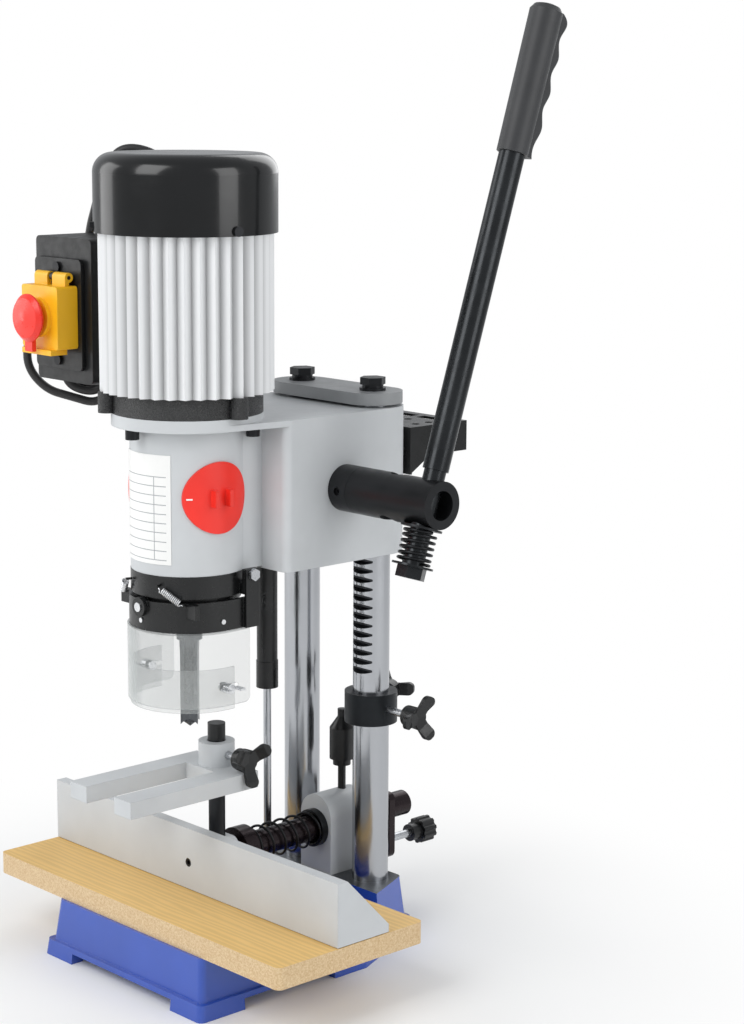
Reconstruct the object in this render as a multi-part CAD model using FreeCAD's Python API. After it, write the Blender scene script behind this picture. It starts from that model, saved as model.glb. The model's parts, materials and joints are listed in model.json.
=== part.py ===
import FreeCAD, Part
import math
import os

# Benchtop mortiser, in millimetres, +Z up, front towards -Y.
# While a piece is made, X and Y are counted from the chisel's axis and Z from the bench.
# keep() moves every piece so that the origin is the centre of the four bench bolts.

# Bench bolts
BENCH_PITCH_X = 156.0
BENCH_PITCH_Y = 130.0
BENCH_CENTRE_Y = 15.0
BENCH_TAP_R = 3.4
BENCH_TAP_DEPTH = 22.0
BENCH_BOSS_R = 9.0

# Clearances and the overrun of cuts
RUNNING_FIT = 0.05
SLIDING_GAP = 0.3
OVERRUN = 1.0
SHAFT_CLEARANCE = 0.5

# Base casting
BASE_HEIGHT = 43.3
BASE_HALF_WIDTH = 86.0
BASE_FRONT = 60.0
BASE_SHOULDER_Y = 90.0
BASE_REAR_HALF_WIDTH = 54.3
BASE_REAR_Y = 165.0
BASE_DRAFT = 5.0
BASE_RIM_STEP = 3.4
BASE_RIM_HEIGHT = 12.0
BASE_WALL = 7.0
BASE_CORNER_R = 5.0
BASE_ARCH_HEIGHT = 8.0
BASE_FOOT_WIDTH = 35.0
BASE_SIDE_FOOT_LENGTH = 38.0
VALLEY_FRONT_Y = 104.0
VALLEY_REAR_Y = 122.3
VALLEY_Z = 32.0
PAD_THICKNESS = 1.7
SOCKET_BOSS_R = 22.0
SOCKET_FLOOR = 12.0

# Columns with the rack in the right one
COLUMN_R = 14.0
COLUMN_X = 39.85
COLUMN_Y = 145.56
COLUMN_TOP_Z = 418.0
COLUMN_BOLT_R = 5.0
COLUMN_BOLT_DEPTH = 22.0
GEAR_MODULE = 2.25
PINION_TEETH = 33
TOOTH_BACKLASH = 0.35
PRESSURE_ANGLE = math.radians(20.0)
DEDENDUM_SHARE = 1.25
PINION_Z = 361.5
RACK_GAPS_BELOW = 21
RACK_GAPS_ABOVE = 3
GEAR_WIDTH = 16.0

# Tie plate on the column tops, with its bolts and washers
TIE_R = 22.5
TIE_THICKNESS = 9.0
TIE_WASHER_R = 10.0
TIE_WASHER_THICKNESS = 2.0
SPRING_WASHER_R = 8.0
SPRING_WASHER_THICKNESS = 2.4
TIE_HEAD_ACROSS = 17.0
TIE_HEAD_HEIGHT = 5.4

# Table board and its screws
TABLE_HALF_WIDTH = 166.2
TABLE_FRONT = 57.8
TABLE_REAR_Y = 80.65
TABLE_THICKNESS = 16.2
TABLE_CORNER_R = 5.0
TABLE_SCREW_R = 2.5
TABLE_SCREW_DEPTH = 11.0
TABLE_SCREW_HEAD_R = 5.0
TABLE_SCREW_HEAD = 3.5
TABLE_SCREW_X = 55.0
TABLE_SCREW_Y = 38.0

# Column set screws at the back of the base
SET_SCREW_R = 4.0
SET_SCREW_LENGTH = 10.0
SET_SCREW_Z = 26.0

# Fence slide block, its bore and its screws
BLOCK_HALF_WIDTH = 17.4
BLOCK_FRONT_Y = 124.6
BLOCK_REAR_Y = 163.0
BLOCK_TOP_Z = 106.5
FENCE_ROD_Z = 80.5
FENCE_ROD_R = 10.0
FENCE_ROD_REAR_Y = 219.0
BLOCK_SCREW_R = 3.0
BLOCK_SCREW_DEPTH = 12.0
BLOCK_SCREW_HEAD_R = 5.0
BLOCK_SCREW_HEAD = 5.0
SPRING_CUP_R = 14.75
SPRING_CUP_LENGTH = 6.0
SPRING_CUP_WALL = 2.4

# Fence, its rod collar, post and rear plate
FENCE_END_INSET = 0.2
FENCE_HALF_WIDTH = TABLE_HALF_WIDTH - FENCE_END_INSET
FENCE_FACE_Y = -3.0
FENCE_BOTTOM_Z = 60.0
FENCE_TOP_Z = 107.0
FENCE_THICKNESS = 9.0
FENCE_FLANGE_REAR_Y = 46.0
FENCE_FLANGE = 6.0
FENCE_GUSSET = 6.0
FENCE_LUG_HALF_WIDTH = 15.0
FENCE_LUG_REAR_Y = 34.0
FENCE_SCREW_HEAD_R = 3.3
FENCE_SCREW_R = 2.5
ROD_COLLAR_R = 17.0
ROD_COLLAR_FRONT_Y = 42.0
ROD_COLLAR_WIDTH = 12.0
POST_R = 6.25
POST_Y = 25.0
POST_TOP_Z = 172.0
POST_CAP_R = 6.65
POST_CAP_LENGTH = 13.5
POST_CAP_RECESS = 2.0
REAR_PLATE_Y = 190.0
REAR_PLATE_THICKNESS = 6.0
REAR_PLATE_HALF_WIDTH = 15.0
REAR_PLATE_BOTTOM_Z = 42.5
REAR_PLATE_TOP_Z = 96.0

# Fence spring round the rod
FENCE_WIRE_R = 1.0
FENCE_COIL_R = 13.0
FENCE_COIL_TURNS = 5
FENCE_COIL_CLOSED_PITCH = 3.2

# Fence adjusting screw
ADJUST_R = 3.25
ADJUST_Z = 52.8
ADJUST_KNOB_Y = 226.0
ADJUST_HUB_R = 7.0
ADJUST_HUB_LENGTH = 9.0
ADJUST_KNOB_R = 10.5
ADJUST_KNOB_LENGTH = 13.0
ADJUST_SCALLOP_R = 2.5
ADJUST_SCALLOPS = 10

# Fence lock knob
LOCK_Y = 152.0
LOCK_STUD_R = 3.1
LOCK_STUD_TOP_Z = 126.0
LOCK_STEP_R = 7.0
LOCK_STEP = 5.0
LOCK_KNOB_R = 9.75
LOCK_KNOB_HEIGHT = 25.0
LOCK_CONE_HEIGHT = 9.0
LOCK_BUTTON_R = 3.5
LOCK_BUTTON_HEIGHT = 6.0

# Hold-down fork and its wing screw
FORK_HALF_WIDTH = 36.0
FORK_FRONT = 83.0
FORK_REAR_Y = 35.0
FORK_BOTTOM_Z = 139.5
FORK_TOP_Z = 152.0
FORK_SLOT_HALF_WIDTH = 16.4
FORK_SLOT_REAR_Y = 9.0
FORK_BOSS_R = 13.6
FORK_BOSS_TOP_Z = 170.0
FORK_SCREW_Z = 161.0
WING_SCREW_R = 3.0
WING_SHAFT = 12.0
WING_LOBES = 3
WING_LOBE_WIDTH = 10.0
WING_TIP_R = 4.0
WING_OUTLINE = ((0.0, 0.0), (0.0, 6.0), (3.5, 7.0), (11.4, 7.4), (12.6, 14.0), (14.0, 18.5), (17.5, 18.5),
                (17.0, 14.0), (13.2, 8.0), (12.0, 0.0))
WING_HUB_R = 8.0
WING_THICKNESS = 12.0

# Depth stop collar on the right column
STOP_R = 20.3
STOP_BOTTOM_Z = 171.0
STOP_HEIGHT = 24.0
STOP_SIDE_SPIN = 30.0
STOP_REAR_SPIN = 30.0
STOP_REAR_AZIMUTH = 30.0
STOP_SCREW_Z = 183.0
STOP_SHAFT = 20.0

# Gas strut between the base and the head
STRUT_X = -24.0
STRUT_Y = 95.5
STRUT_R = 8.0
STRUT_SLEEVE_R = 8.5
STRUT_ROD_R = 3.0
STRUT_BOTTOM_Z = 194.0
STRUT_SLEEVE_TOP_Z = 215.0
STRUT_FOOT_R = 7.0
STRUT_FOOT_HEIGHT = 8.0
STRUT_WALL = 2.0
STRUT_PISTON = 6.0

# Head casting
HEAD_HALF_WIDTH = 63.0
HEAD_FRONT_Y = 39.5
HEAD_BOTTOM_Z = 305.0
HEAD_TOP_Z = 416.0
HEAD_EDGE_R = 6.0
HEAD_WALL = 8.0
BARREL_R = 42.0
BARREL_BOTTOM_Z = 306.5
BARREL_NECK = 36.0
BARREL_BORE_R = 36.0
BARREL_WEB = 10.0
FLANGE_R = 55.0
FLANGE_TOP_Z = 420.5
FLANGE_THICKNESS = 9.0
FLANGE_BORE_R = 30.0
CHISEL_BOSS_R = 22.0
CHISEL_BOSS_BOTTOM_Z = 276.0
BUSHING_R = 14.3
SHAFT_WEB_X = 19.0
PINION_SIDE_GAP = 2.0
PINION_TIP_GAP = 1.5

# Doors of the barrel
DOOR_R = 26.0
DOOR_PLUG_R = 23.0
DOOR_AZIMUTH = 82.9
DOOR_Z = 363.0
DOOR_PROUD = 1.6
DOOR_TAB_LENGTH = 15.0
DOOR_TAB_WIDTH = 12.0
DOOR_TAB_HEIGHT = 7.0
DOOR_TAB_WALL = 3.0

# Rating plate
RATING_WIDTH = 50.5
RATING_BOTTOM_Z = 315.0
RATING_HEIGHT = 79.0
RATING_THICKNESS = 0.5
RATING_FILM = 0.1

# Hub, collar and pinion shaft
SHAFT_R = 8.0
SHAFT_END_X = 105.0
COLLAR_GAP = 0.3
COLLAR_LENGTH = 18.0
HUB_R = 17.3
HUB_BORE_R = 10.65
HUB_END_X = 163.9
HUB_GAP = 0.3
HUB_CROSS_X = 117.0
GRUB_R = 3.0
GRUB_LENGTH = 7.0

# Lever, measured along its own axis from the hub's axis
LEVER_X = 149.3
LEVER_TILT = math.radians(18.36)
LEVER_ROD_R = 8.0
LEVER_TUBE_R = 9.5
LEVER_NECK = 24.0
LEVER_GRIP_START = 256.5
LEVER_GRIP_END = 366.0
LEVER_GRIP_LOW_R = 11.5
LEVER_GRIP_TOP_R = 12.2
LEVER_GRIP_DOME = 5.0
GRIP_RIDGE_HALF_WIDTH = 7.6
GRIP_RIDGE_R = 2.2
# The finger ridge's crest: down from the grip's top, and out from the lever's axis
GRIP_RIDGE_CREST = (
    (3.0, 12.6),
    (9.5, 17.6),
    (22.0, 13.8),
    (34.5, 17.2),
    (47.5, 13.8),
    (60.0, 17.2),
    (73.0, 13.8),
    (86.0, 17.2),
    (98.0, 13.8),
    (109.5, 14.4),
)
LEVER_WASHER_R = 15.0
LEVER_WASHER = 1.5
LEVER_SPRING_LENGTH = 26.0
LEVER_SPRING_TURNS = 5
LEVER_WIRE_R = 1.1
LEVER_COIL_R = 11.5
LEVER_COIL_CLOSED_PITCH = 3.0
LEVER_BOLT_R = 6.0
LEVER_BOLT_DEPTH = 20.0
LEVER_HEAD_ACROSS = 19.0
LEVER_HEAD_HEIGHT = 8.5

# Motor
RING_R = 54.75
RING_HEIGHT = 15.5
RING_FLOOR = 5.0
RING_HUB_R = 22.0
RING_WALL = 6.0
RING_LUGS = 3
RING_LUG_R = 6.5
RING_LUG_PLACE = 58.0
MOTOR_SCREW_PLACE = 50.0
MOTOR_SCREW_R = 3.0
MOTOR_SCREW_HEAD_R = 5.0
MOTOR_SCREW_HEAD = 7.0
MOTOR_SCREW_DEPTH = 8.0
MOTOR_SCREW_ANGLE = 30.0
FIN_COUNT = 36
FIN_RIDGE_R = 62.7
FIN_VALLEY_R = 57.5
HOUSING_TOP_Z = 549.0
HOUSING_BORE_R = 50.0
HOUSING_LID = 6.0
HOUSING_SPIGOT = 7.0
BEARING_R = 17.5
BEARING_WIDTH = 12.0
STATOR_BORE_R = 31.0
STATOR_BOTTOM_Z = 450.0
STATOR_LENGTH = 74.0
ROTOR_R = 30.4
MOTOR_SHAFT_R = 8.0
MOTOR_SHAFT_TOP_Z = 592.0
COVER_R = 65.75
COVER_WALL = 1.5
COVER_TOP_Z = 604.8
COVER_EDGE_R = 14.0
COVER_SCREW_R = 2.0
COVER_SCREW_HEAD_R = 3.6
COVER_SCREW_HEAD = 2.2
COVER_SCREW_DEPTH = 7.0
COVER_SCREW_ANGLE = -6.0
COVER_SCREWS = 3
FAN_HUB_R = 13.0
FAN_R = 52.0
FAN_BOTTOM_Z = 560.0
FAN_HEIGHT = 26.0
FAN_BLADES = 8
FAN_BLADE = 2.5

# Chuck, chisel and auger bit
CHUCK_NOSE_Z = 326.0
CHUCK_NOSE_LENGTH = 16.0
CHUCK_SLEEVE_LENGTH = 26.0
CHUCK_COLLAR_LENGTH = 24.0
CHUCK_SLEEVE_BOTTOM_Z = CHUCK_NOSE_Z + CHUCK_NOSE_LENGTH
CHUCK_SLEEVE_TOP_Z = CHUCK_SLEEVE_BOTTOM_Z + CHUCK_SLEEVE_LENGTH
CHUCK_TOP_Z = CHUCK_SLEEVE_TOP_Z + CHUCK_COLLAR_LENGTH
CHUCK_BODY_R = 16.5
CHUCK_SLEEVE_R = 21.5
CHUCK_NOSE_R = 11.0
CHUCK_SEAT_DEPTH = 18.0
CHISEL_SHANK_R = 9.525
CHISEL_TO_CHUCK = 14.0
CHISEL_SHANK_TOP_Z = CHUCK_NOSE_Z - CHISEL_TO_CHUCK
CHISEL_SHANK_BOTTOM_Z = 252.0
CHISEL_FLARE_BOTTOM_Z = 242.0
CHISEL_SIDE = 12.7
CHISEL_TIP_Z = 188.4
CHISEL_TIP_BEVEL = 5.0
CHISEL_BORE_R = 5.6
CHISEL_SLOT_WIDTH = 7.0
CHISEL_SLOT_TOP_Z = 246.0
CHISEL_SLOT_BOTTOM_Z = 204.0
AUGER_R = 5.2
AUGER_TIP_Z = 185.5
AUGER_POINT = 4.0
AUGER_GRIP_DEPTH = 22.0

# Guard
GUARD_FLANGE_R = 42.3
GUARD_FLANGE_BOTTOM_Z = 290.0
GUARD_SKIRT_R = 38.0
GUARD_EAR_ROOT_SHARE = 0.8
GUARD_SKIRT_DROP = 5.0
GUARD_PIVOT_Y = 21.0
GUARD_PIVOT_Z = 304.5
GUARD_EAR_HALF = 6.0
GUARD_EAR_X = 42.6
GUARD_EAR_THICKNESS = 2.2
GUARD_EAR_ROOT_TOP_Z = 298.0
GUARD_PIN_R = 2.0
GUARD_NUT_ACROSS = 8.0
GUARD_NUT_THICKNESS = 3.0
BAND_R = 43.7
BAND_WALL = 3.0
BAND_BOTTOM_Z = 265.6
BAND_TOP_Z = 287.5
BAND_REAR_Y = 27.0
BAND_BOSS_R = 7.0
BAND_BOSS_REACH = 6.0
BAND_BOSS_Z = 282.5
BAND_SCREW_R = 3.4
BAND_LUG_Y = -27.0
BAND_LUG_REACH = 9.0
BAND_LUG_THICKNESS = 4.0
BAND_LUG_BOTTOM_Z = 277.0
SHIELD_WALL = 1.5
SHIELD_BOTTOM_Z = 210.0
SHIELD_OVERLAP = 9.6
SHIELD_REAR_Y = 20.0
SHIELD_SLOT = 10.0
SHIELD_CORNER_R = 5.0
RIVET_R = 1.2
RIVET_HEAD_R = 1.8
RIVET_HEAD = 1.0
RIVET_AZIMUTHS = (-85.0, 0.0, 85.0)
RIVET_Z = 272.5
VISOR_WALL = 1.2
VISOR_BOTTOM_Z = 206.5
VISOR_TOP_Z = 238.0
VISOR_REAR_Y = 7.0
WING_NUT_Y = -2.6
WING_NUT_Z = 224.0
WING_NUT_R = 3.6
WING_NUT_BOLT_R = 1.75
WING_NUT_WIDTH = 3.0
WING_NUT_SPAN = 8.0
WING_NUT_FOOT = 6.0
WING_NUT_GAP = 9.0
GUARD_WIRE_R = 0.45
GUARD_COIL_R = 2.3
GUARD_COIL_TURNS = 12
GUARD_COIL_PITCH = 1.35
GUARD_HOOK_X = 16.0
GUARD_HOOK_Z = 300.0
GUARD_HOOK_END_X = 36.0
GUARD_HOOK_END_Z = 286.2
GUARD_HOOK_REACH = 5.1
POST_SHARE = 0.9

# Tool holder behind the head
HOLDER_HALF_WIDTH = 57.0
HOLDER_SHEET = 2.0
HOLDER_TOP_Z = 398.0
HOLDER_REAR_Y = 229.0
HOLDER_SIDE = 23.0
HOLDER_SIDE_END_Y = 190.0
HOLDER_ROOT_Z = 362.0
HOLDER_SLOT_Y = 216.0
HOLDER_SLOT_WIDTH = 10.0
HOLDER_SLOT_LENGTH = 26.0
HOLDER_HOLE_R = 3.2
HOLDER_HOLES = 5
HOLDER_HOLE_ROWS = (185.0, 199.0)
HOLDER_SCREW_R = 3.0
HOLDER_SCREW_HEAD_R = 5.5
HOLDER_SCREW_HEAD = 3.0
HOLDER_SCREW_X = 36.0
HOLDER_SCREW_Z = 381.0

# Switch box, plate, cover and buttons
SWITCH_LEFT_X = -134.0
SWITCH_RIGHT_X = -66.0
SWITCH_FRONT_Y = -35.0
SWITCH_REAR_Y = 10.0
SWITCH_BOTTOM_Z = 435.0
SWITCH_TOP_Z = 541.0
SWITCH_WALL = 2.5
SWITCH_EDGE_R = 4.0
SADDLE_HALF_WIDTH = 17.0
SADDLE_MARGIN = 14.0
PLATE_LEFT_X = -131.0
PLATE_RIGHT_X = -74.0
PLATE_BOTTOM_Z = 444.6
PLATE_TOP_Z = 526.0
PLATE_THICKNESS = 3.5
PLATE_SCREW_R = 2.0
PLATE_SCREW_HEAD_R = 3.8
PLATE_SCREW_MARGIN = 6.5
MODULE_DEPTH = 24.0
MODULE_HALF_WIDTH = 15.0
MODULE_HALF_HEIGHT = 24.0
SWITCH_COVER_LEFT_X = -122.0
SWITCH_COVER_RIGHT_X = -78.0
SWITCH_COVER_BOTTOM_Z = 461.0
SWITCH_COVER_TOP_Z = 507.0
SWITCH_COVER_FRONT_Y = -57.0
SWITCH_COVER_WALL = 2.5
SWITCH_COVER_GAP = 0.4
SWITCH_HINGE_Z = 513.0
SWITCH_HINGE_R = 3.6
SWITCH_HINGE_DROP = 5.5
SWITCH_HINGE_PIN_R = 1.5
SWITCH_HINGE_WIDTH = 16.0
SWITCH_LIP = 3.5
SWITCH_LIP_DROP = 4.0
STOP_X = -100.0
STOP_Z = 484.0
STOP_BUTTON_R = 17.5
STOP_BUTTON_THICKNESS = 7.0
STOP_BUTTON_DOME = 3.0
STOP_STEM_R = 7.0
STOP_BEZEL_R = 14.5
STOP_BEZEL = 3.5
STOP_PRESS = 3.0
STOP_TAB_WIDTH = 9.0
STOP_TAB_DROP = 7.0
START_R = 6.0
START_PROUD = 5.0
START_X = -100.0
START_Z = 496.0
GLAND_Y = -12.0
GLAND_Z = 472.0
GLAND_R = 8.0
GLAND_LENGTH = 14.0
GLAND_FLANGE = 4.0
GLAND_FLANGE_R = 10.0

# Mains lead, a hank of loops tied behind the switch box
LEAD_R = 3.25
LEAD_ROUTE = (
    (-148.0, -12.0, 472.0),
    (-163.0, -12.5, 472.0),
    (-175.0, -15.0, 461.0),
    (-176.0, -17.0, 438.0),
)
LEAD_RUN_IN = 20.0
ARC_SHARE = 0.45
HANK_FOOT = (-150.0, 13.0, 410.0)
HANK_HEAD = (-105.0, 46.0, 606.0)
HANK_BEND_R = 24.5
HANK_STRAND_STEP = 7.6
HANK_WAIST_OUTER = 19.2
HANK_WAIST_HEIGHT = 35.0
HANK_STEP_SHARES = (0.67, 0.4)
TAIL_RISE = 60.0
PLUG_LENGTH = 42.0
PLUG_WIDTH = 26.0
PLUG_THICKNESS = 20.0
PLUG_GAP = 2.0
PLUG_EDGE_R = 5.0
PIN_R = 2.0
PIN_LENGTH = 19.0
PIN_PITCH = 19.0

# Sizes that follow
SHIELD_R = BAND_R + SHIELD_WALL
PINION_R = GEAR_MODULE * PINION_TEETH / 2
RACK_PITCH = math.pi * GEAR_MODULE
RACK_Y = COLUMN_Y - COLUMN_R + GEAR_MODULE
PINION_Y = RACK_Y - PINION_R
PINION_TIP_R = PINION_R + GEAR_MODULE
PINION_ROOT_R = PINION_R - DEDENDUM_SHARE * GEAR_MODULE
PAD_Z = BASE_HEIGHT + PAD_THICKNESS
TABLE_TOP_Z = BASE_HEIGHT + TABLE_THICKNESS
HEAD_REAR_Y = COLUMN_Y + HEAD_HALF_WIDTH - COLUMN_X
HEAD_REAR_R = HEAD_HALF_WIDTH - COLUMN_X
TIE_TOP_Z = COLUMN_TOP_Z + TIE_THICKNESS
RING_TOP_Z = FLANGE_TOP_Z + RING_HEIGHT
HUB_START_X = HEAD_HALF_WIDTH + COLLAR_GAP + COLLAR_LENGTH + HUB_GAP

FULL_TURN = 360
HEXAGON_SIDES = 6
ANGLE_TEST = 0.001
STRAIGHT_TEST = 0.0001
PARALLEL_TEST = 0.000001
X_WAY = FreeCAD.Vector(1, 0, 0)
Y_WAY = FreeCAD.Vector(0, 1, 0)
Z_WAY = FreeCAD.Vector(0, 0, 1)
SIDES = (-1, 1)


def point(x, y, z):
    return FreeCAD.Vector(x, y, z)


def block(xs, ys, zs):
    """A box between pairs of x, y and z."""
    corner = point(min(xs), min(ys), min(zs))
    return Part.makeBox(abs(xs[1] - xs[0]), abs(ys[1] - ys[0]), abs(zs[1] - zs[0]), corner)


def rod(radius, start, end):
    """A round bar from one point to another."""
    way = end - start
    return Part.makeCylinder(radius, way.Length, start, way)


def tube(outer_r, inner_r, start, end):
    return rod(outer_r, start, end).cut(rod(inner_r, start, end))


def upright(radius, x, y, bottom, top):
    return rod(radius, point(x, y, bottom), point(x, y, top))


def prism(corners, way):
    """A straight prism over a closed outline of points."""
    return Part.Face(Part.makePolygon(corners + corners[:1])).extrude(way)


def hexagon(across, start, end):
    """A hexagonal bar, across its flats, from one point to another."""
    way = end - start
    turn = FreeCAD.Rotation(Z_WAY, way)
    reach = across / math.sqrt(3)
    corners = []
    for i in range(HEXAGON_SIDES):
        angle = math.radians(FULL_TURN / HEXAGON_SIDES * i)
        flat = point(reach * math.cos(angle), reach * math.sin(angle), 0)
        corners.append(start + turn.multVec(flat))
    return prism(corners, way)


def turned(outline, start, way):
    """A turned solid: outline pairs of radius and distance along the axis."""
    corners = [point(r, 0, along) for r, along in outline]
    solid = Part.Face(Part.makePolygon(corners + corners[:1])).revolve(point(0, 0, 0), Z_WAY, FULL_TURN)
    solid.Placement = FreeCAD.Placement(start, FreeCAD.Rotation(Z_WAY, way))
    return solid


def fused(shapes):
    whole = shapes[0]
    for shape in shapes[1:]:
        whole = whole.fuse(shape)
    return whole.removeSplitter()


def drilled(shape, cutters):
    return shape.cut(Part.makeCompound(cutters)) if cutters else shape


def around(x, y, radius, angle_deg, z):
    """A point on a circle about an upright axis."""
    angle = math.radians(angle_deg)
    return point(x + radius * math.cos(angle), y + radius * math.sin(angle), z)


def grown(outline, distance):
    """The outline with each side moved out by a distance, its corners mitred."""
    lines = []
    for i, (x0, y0) in enumerate(outline):
        x1, y1 = outline[(i + 1) % len(outline)]
        length = math.hypot(x1 - x0, y1 - y0)
        nx = (y1 - y0) / length
        ny = (x0 - x1) / length
        lines.append((nx, ny, nx * x0 + ny * y0 + distance))
    corners = []
    for i in range(len(lines)):
        a0, b0, c0 = lines[i - 1]
        a1, b1, c1 = lines[i]
        share = a0 * b1 - a1 * b0
        corners.append(((c0 * b1 - c1 * b0) / share, (a0 * c1 - a1 * c0) / share))
    return corners


def drafted(low, low_z, high, high_z):
    """A solid between two outlines at two heights, flat on every side."""
    wires = []
    for outline, z in ((low, low_z), (high, high_z)):
        corners = [point(x, y, z) for x, y in outline]
        wires.append(Part.makePolygon(corners + corners[:1]))
    return Part.makeLoft(wires, True, True)


def edges_along(shape, way, test):
    """Straight edges that run along a direction, and whose middle passes a test."""
    found = []
    for edge in shape.Edges:
        if len(edge.Vertexes) != 2 or not isinstance(edge.Curve, Part.Line):
            continue
        run = edge.Vertexes[1].Point - edge.Vertexes[0].Point
        if run.cross(way).Length < run.Length * ANGLE_TEST and test(edge.CenterOfMass):
            found.append(edge)
    return found


def rounded(shape, radius, way, test=lambda p: True):
    return shape.makeFillet(radius, edges_along(shape, way, test))


def arc_from(start, tangent, end):
    """The arc from a point, in a direction, to an end point, as an edge."""
    chord = end - start
    side = chord - tangent * chord.dot(tangent)
    if side.Length < chord.Length * STRAIGHT_TEST:
        return Part.LineSegment(start, end).toShape()
    side.normalize()
    radius = chord.dot(chord) / (2 * chord.dot(side))
    centre = start + side * radius
    middle = (start - centre) + (end - centre)
    middle.normalize()
    return Part.Arc(start, centre + middle * radius, end).toShape()


def biarc(start, start_way, end, end_way):
    """Two arcs that join two points, each with its direction."""
    chord = end - start
    ways = start_way + end_way
    spread = 2 * (1 - start_way.dot(end_way))
    along = chord.dot(ways)
    if spread < PARALLEL_TEST:
        reach = chord.dot(chord) / (2 * along)
    else:
        reach = (math.sqrt(along * along + spread * chord.dot(chord)) - along) / spread
    joint = (start + end + (start_way - end_way) * reach) * 0.5
    joint_way = end - end_way * reach - (start + start_way * reach)
    joint_way.normalize()
    return [arc_from(start, start_way, joint), arc_from(joint, joint_way, end)]


def wound(knots, radius):
    """One unbroken round tube through knots, each a point and its direction."""
    edges = []
    for (start, start_way), (end, end_way) in zip(knots, knots[1:]):
        edges.extend(biarc(start, start_way, end, end_way))
    path = Part.Wire(edges)
    start, way = knots[0]
    section = Part.Wire(Part.Circle(start, way, radius).toShape())
    shell = Part.BRepOffsetAPI.MakePipeShell(path)
    shell.add(section)
    shell.build()
    shell.makeSolid()
    return shell.shape(), path


def self_gap(name, path, radius, turn_length):
    """Print the least gap of a wound tube to itself, on points along its path."""
    spots = path.discretize(Number=max(int(path.Length / radius), 2))
    step = path.Length / (len(spots) - 1)
    apart = int(turn_length / step)
    least = path.Length
    for i, spot in enumerate(spots):
        for other in spots[i + apart:]:
            least = min(least, spot.distanceToPoint(other) - 2 * radius)
    print(name, "least gap", round(least, 2), "length", round(path.Length, 1))


def coil_knots(start, way, coil_r, rise, turns, end_turns, end_pitch):
    """Quarter-turn knots of a compression spring with closer turns at its ends."""
    turn = FreeCAD.Rotation(Z_WAY, way)
    quarters = 4 * turns
    end_quarters = 4 * end_turns
    open_pitch = (rise - 2 * end_turns * end_pitch) / (turns - 2 * end_turns)
    knots = []
    height = 0
    for i in range(quarters + 1):
        is_end = i < end_quarters or i >= quarters - end_quarters
        pitch = end_pitch if is_end else open_pitch
        angle = math.pi / 2 * i
        if 0 < i < quarters:
            previous_end = i - 1 < end_quarters or i - 1 >= quarters - end_quarters
            slope = (pitch + (end_pitch if previous_end else open_pitch)) / 2
        else:
            slope = pitch
        spot = point(coil_r * math.cos(angle), coil_r * math.sin(angle), height)
        lean = point(-math.sin(angle), math.cos(angle), slope / (2 * math.pi * coil_r))
        lean.normalize()
        knots.append((start + turn.multVec(spot), turn.multVec(lean)))
        height += pitch / 4
    return knots


def keep(name, shapes):
    """Save one piece, or one set of like fasteners, with the part's origin at the bench bolts."""
    whole = shapes[0] if len(shapes) == 1 else Part.makeCompound(shapes)
    whole = whole.copy()
    whole.translate(point(0, -BENCH_CENTRE_Y, 0))
    for solid in whole.Solids:
        if not solid.isValid():
            print("invalid solid in", name)
    print(name, "solids", len(whole.Solids), "volume", round(whole.Volume))
    whole.exportStep("parts/" + name + ".step")


def base_outline():
    return [
        (-BASE_HALF_WIDTH, -BASE_FRONT),
        (BASE_HALF_WIDTH, -BASE_FRONT),
        (BASE_HALF_WIDTH, BASE_SHOULDER_Y),
        (BASE_REAR_HALF_WIDTH, BASE_REAR_Y),
        (-BASE_REAR_HALF_WIDTH, BASE_REAR_Y),
        (-BASE_HALF_WIDTH, BASE_SHOULDER_Y),
    ]


def bench_holes():
    places = []
    for side in SIDES:
        for end in SIDES:
            places.append((side * BENCH_PITCH_X / 2, BENCH_CENTRE_Y + end * BENCH_PITCH_Y / 2))
    return places


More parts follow.
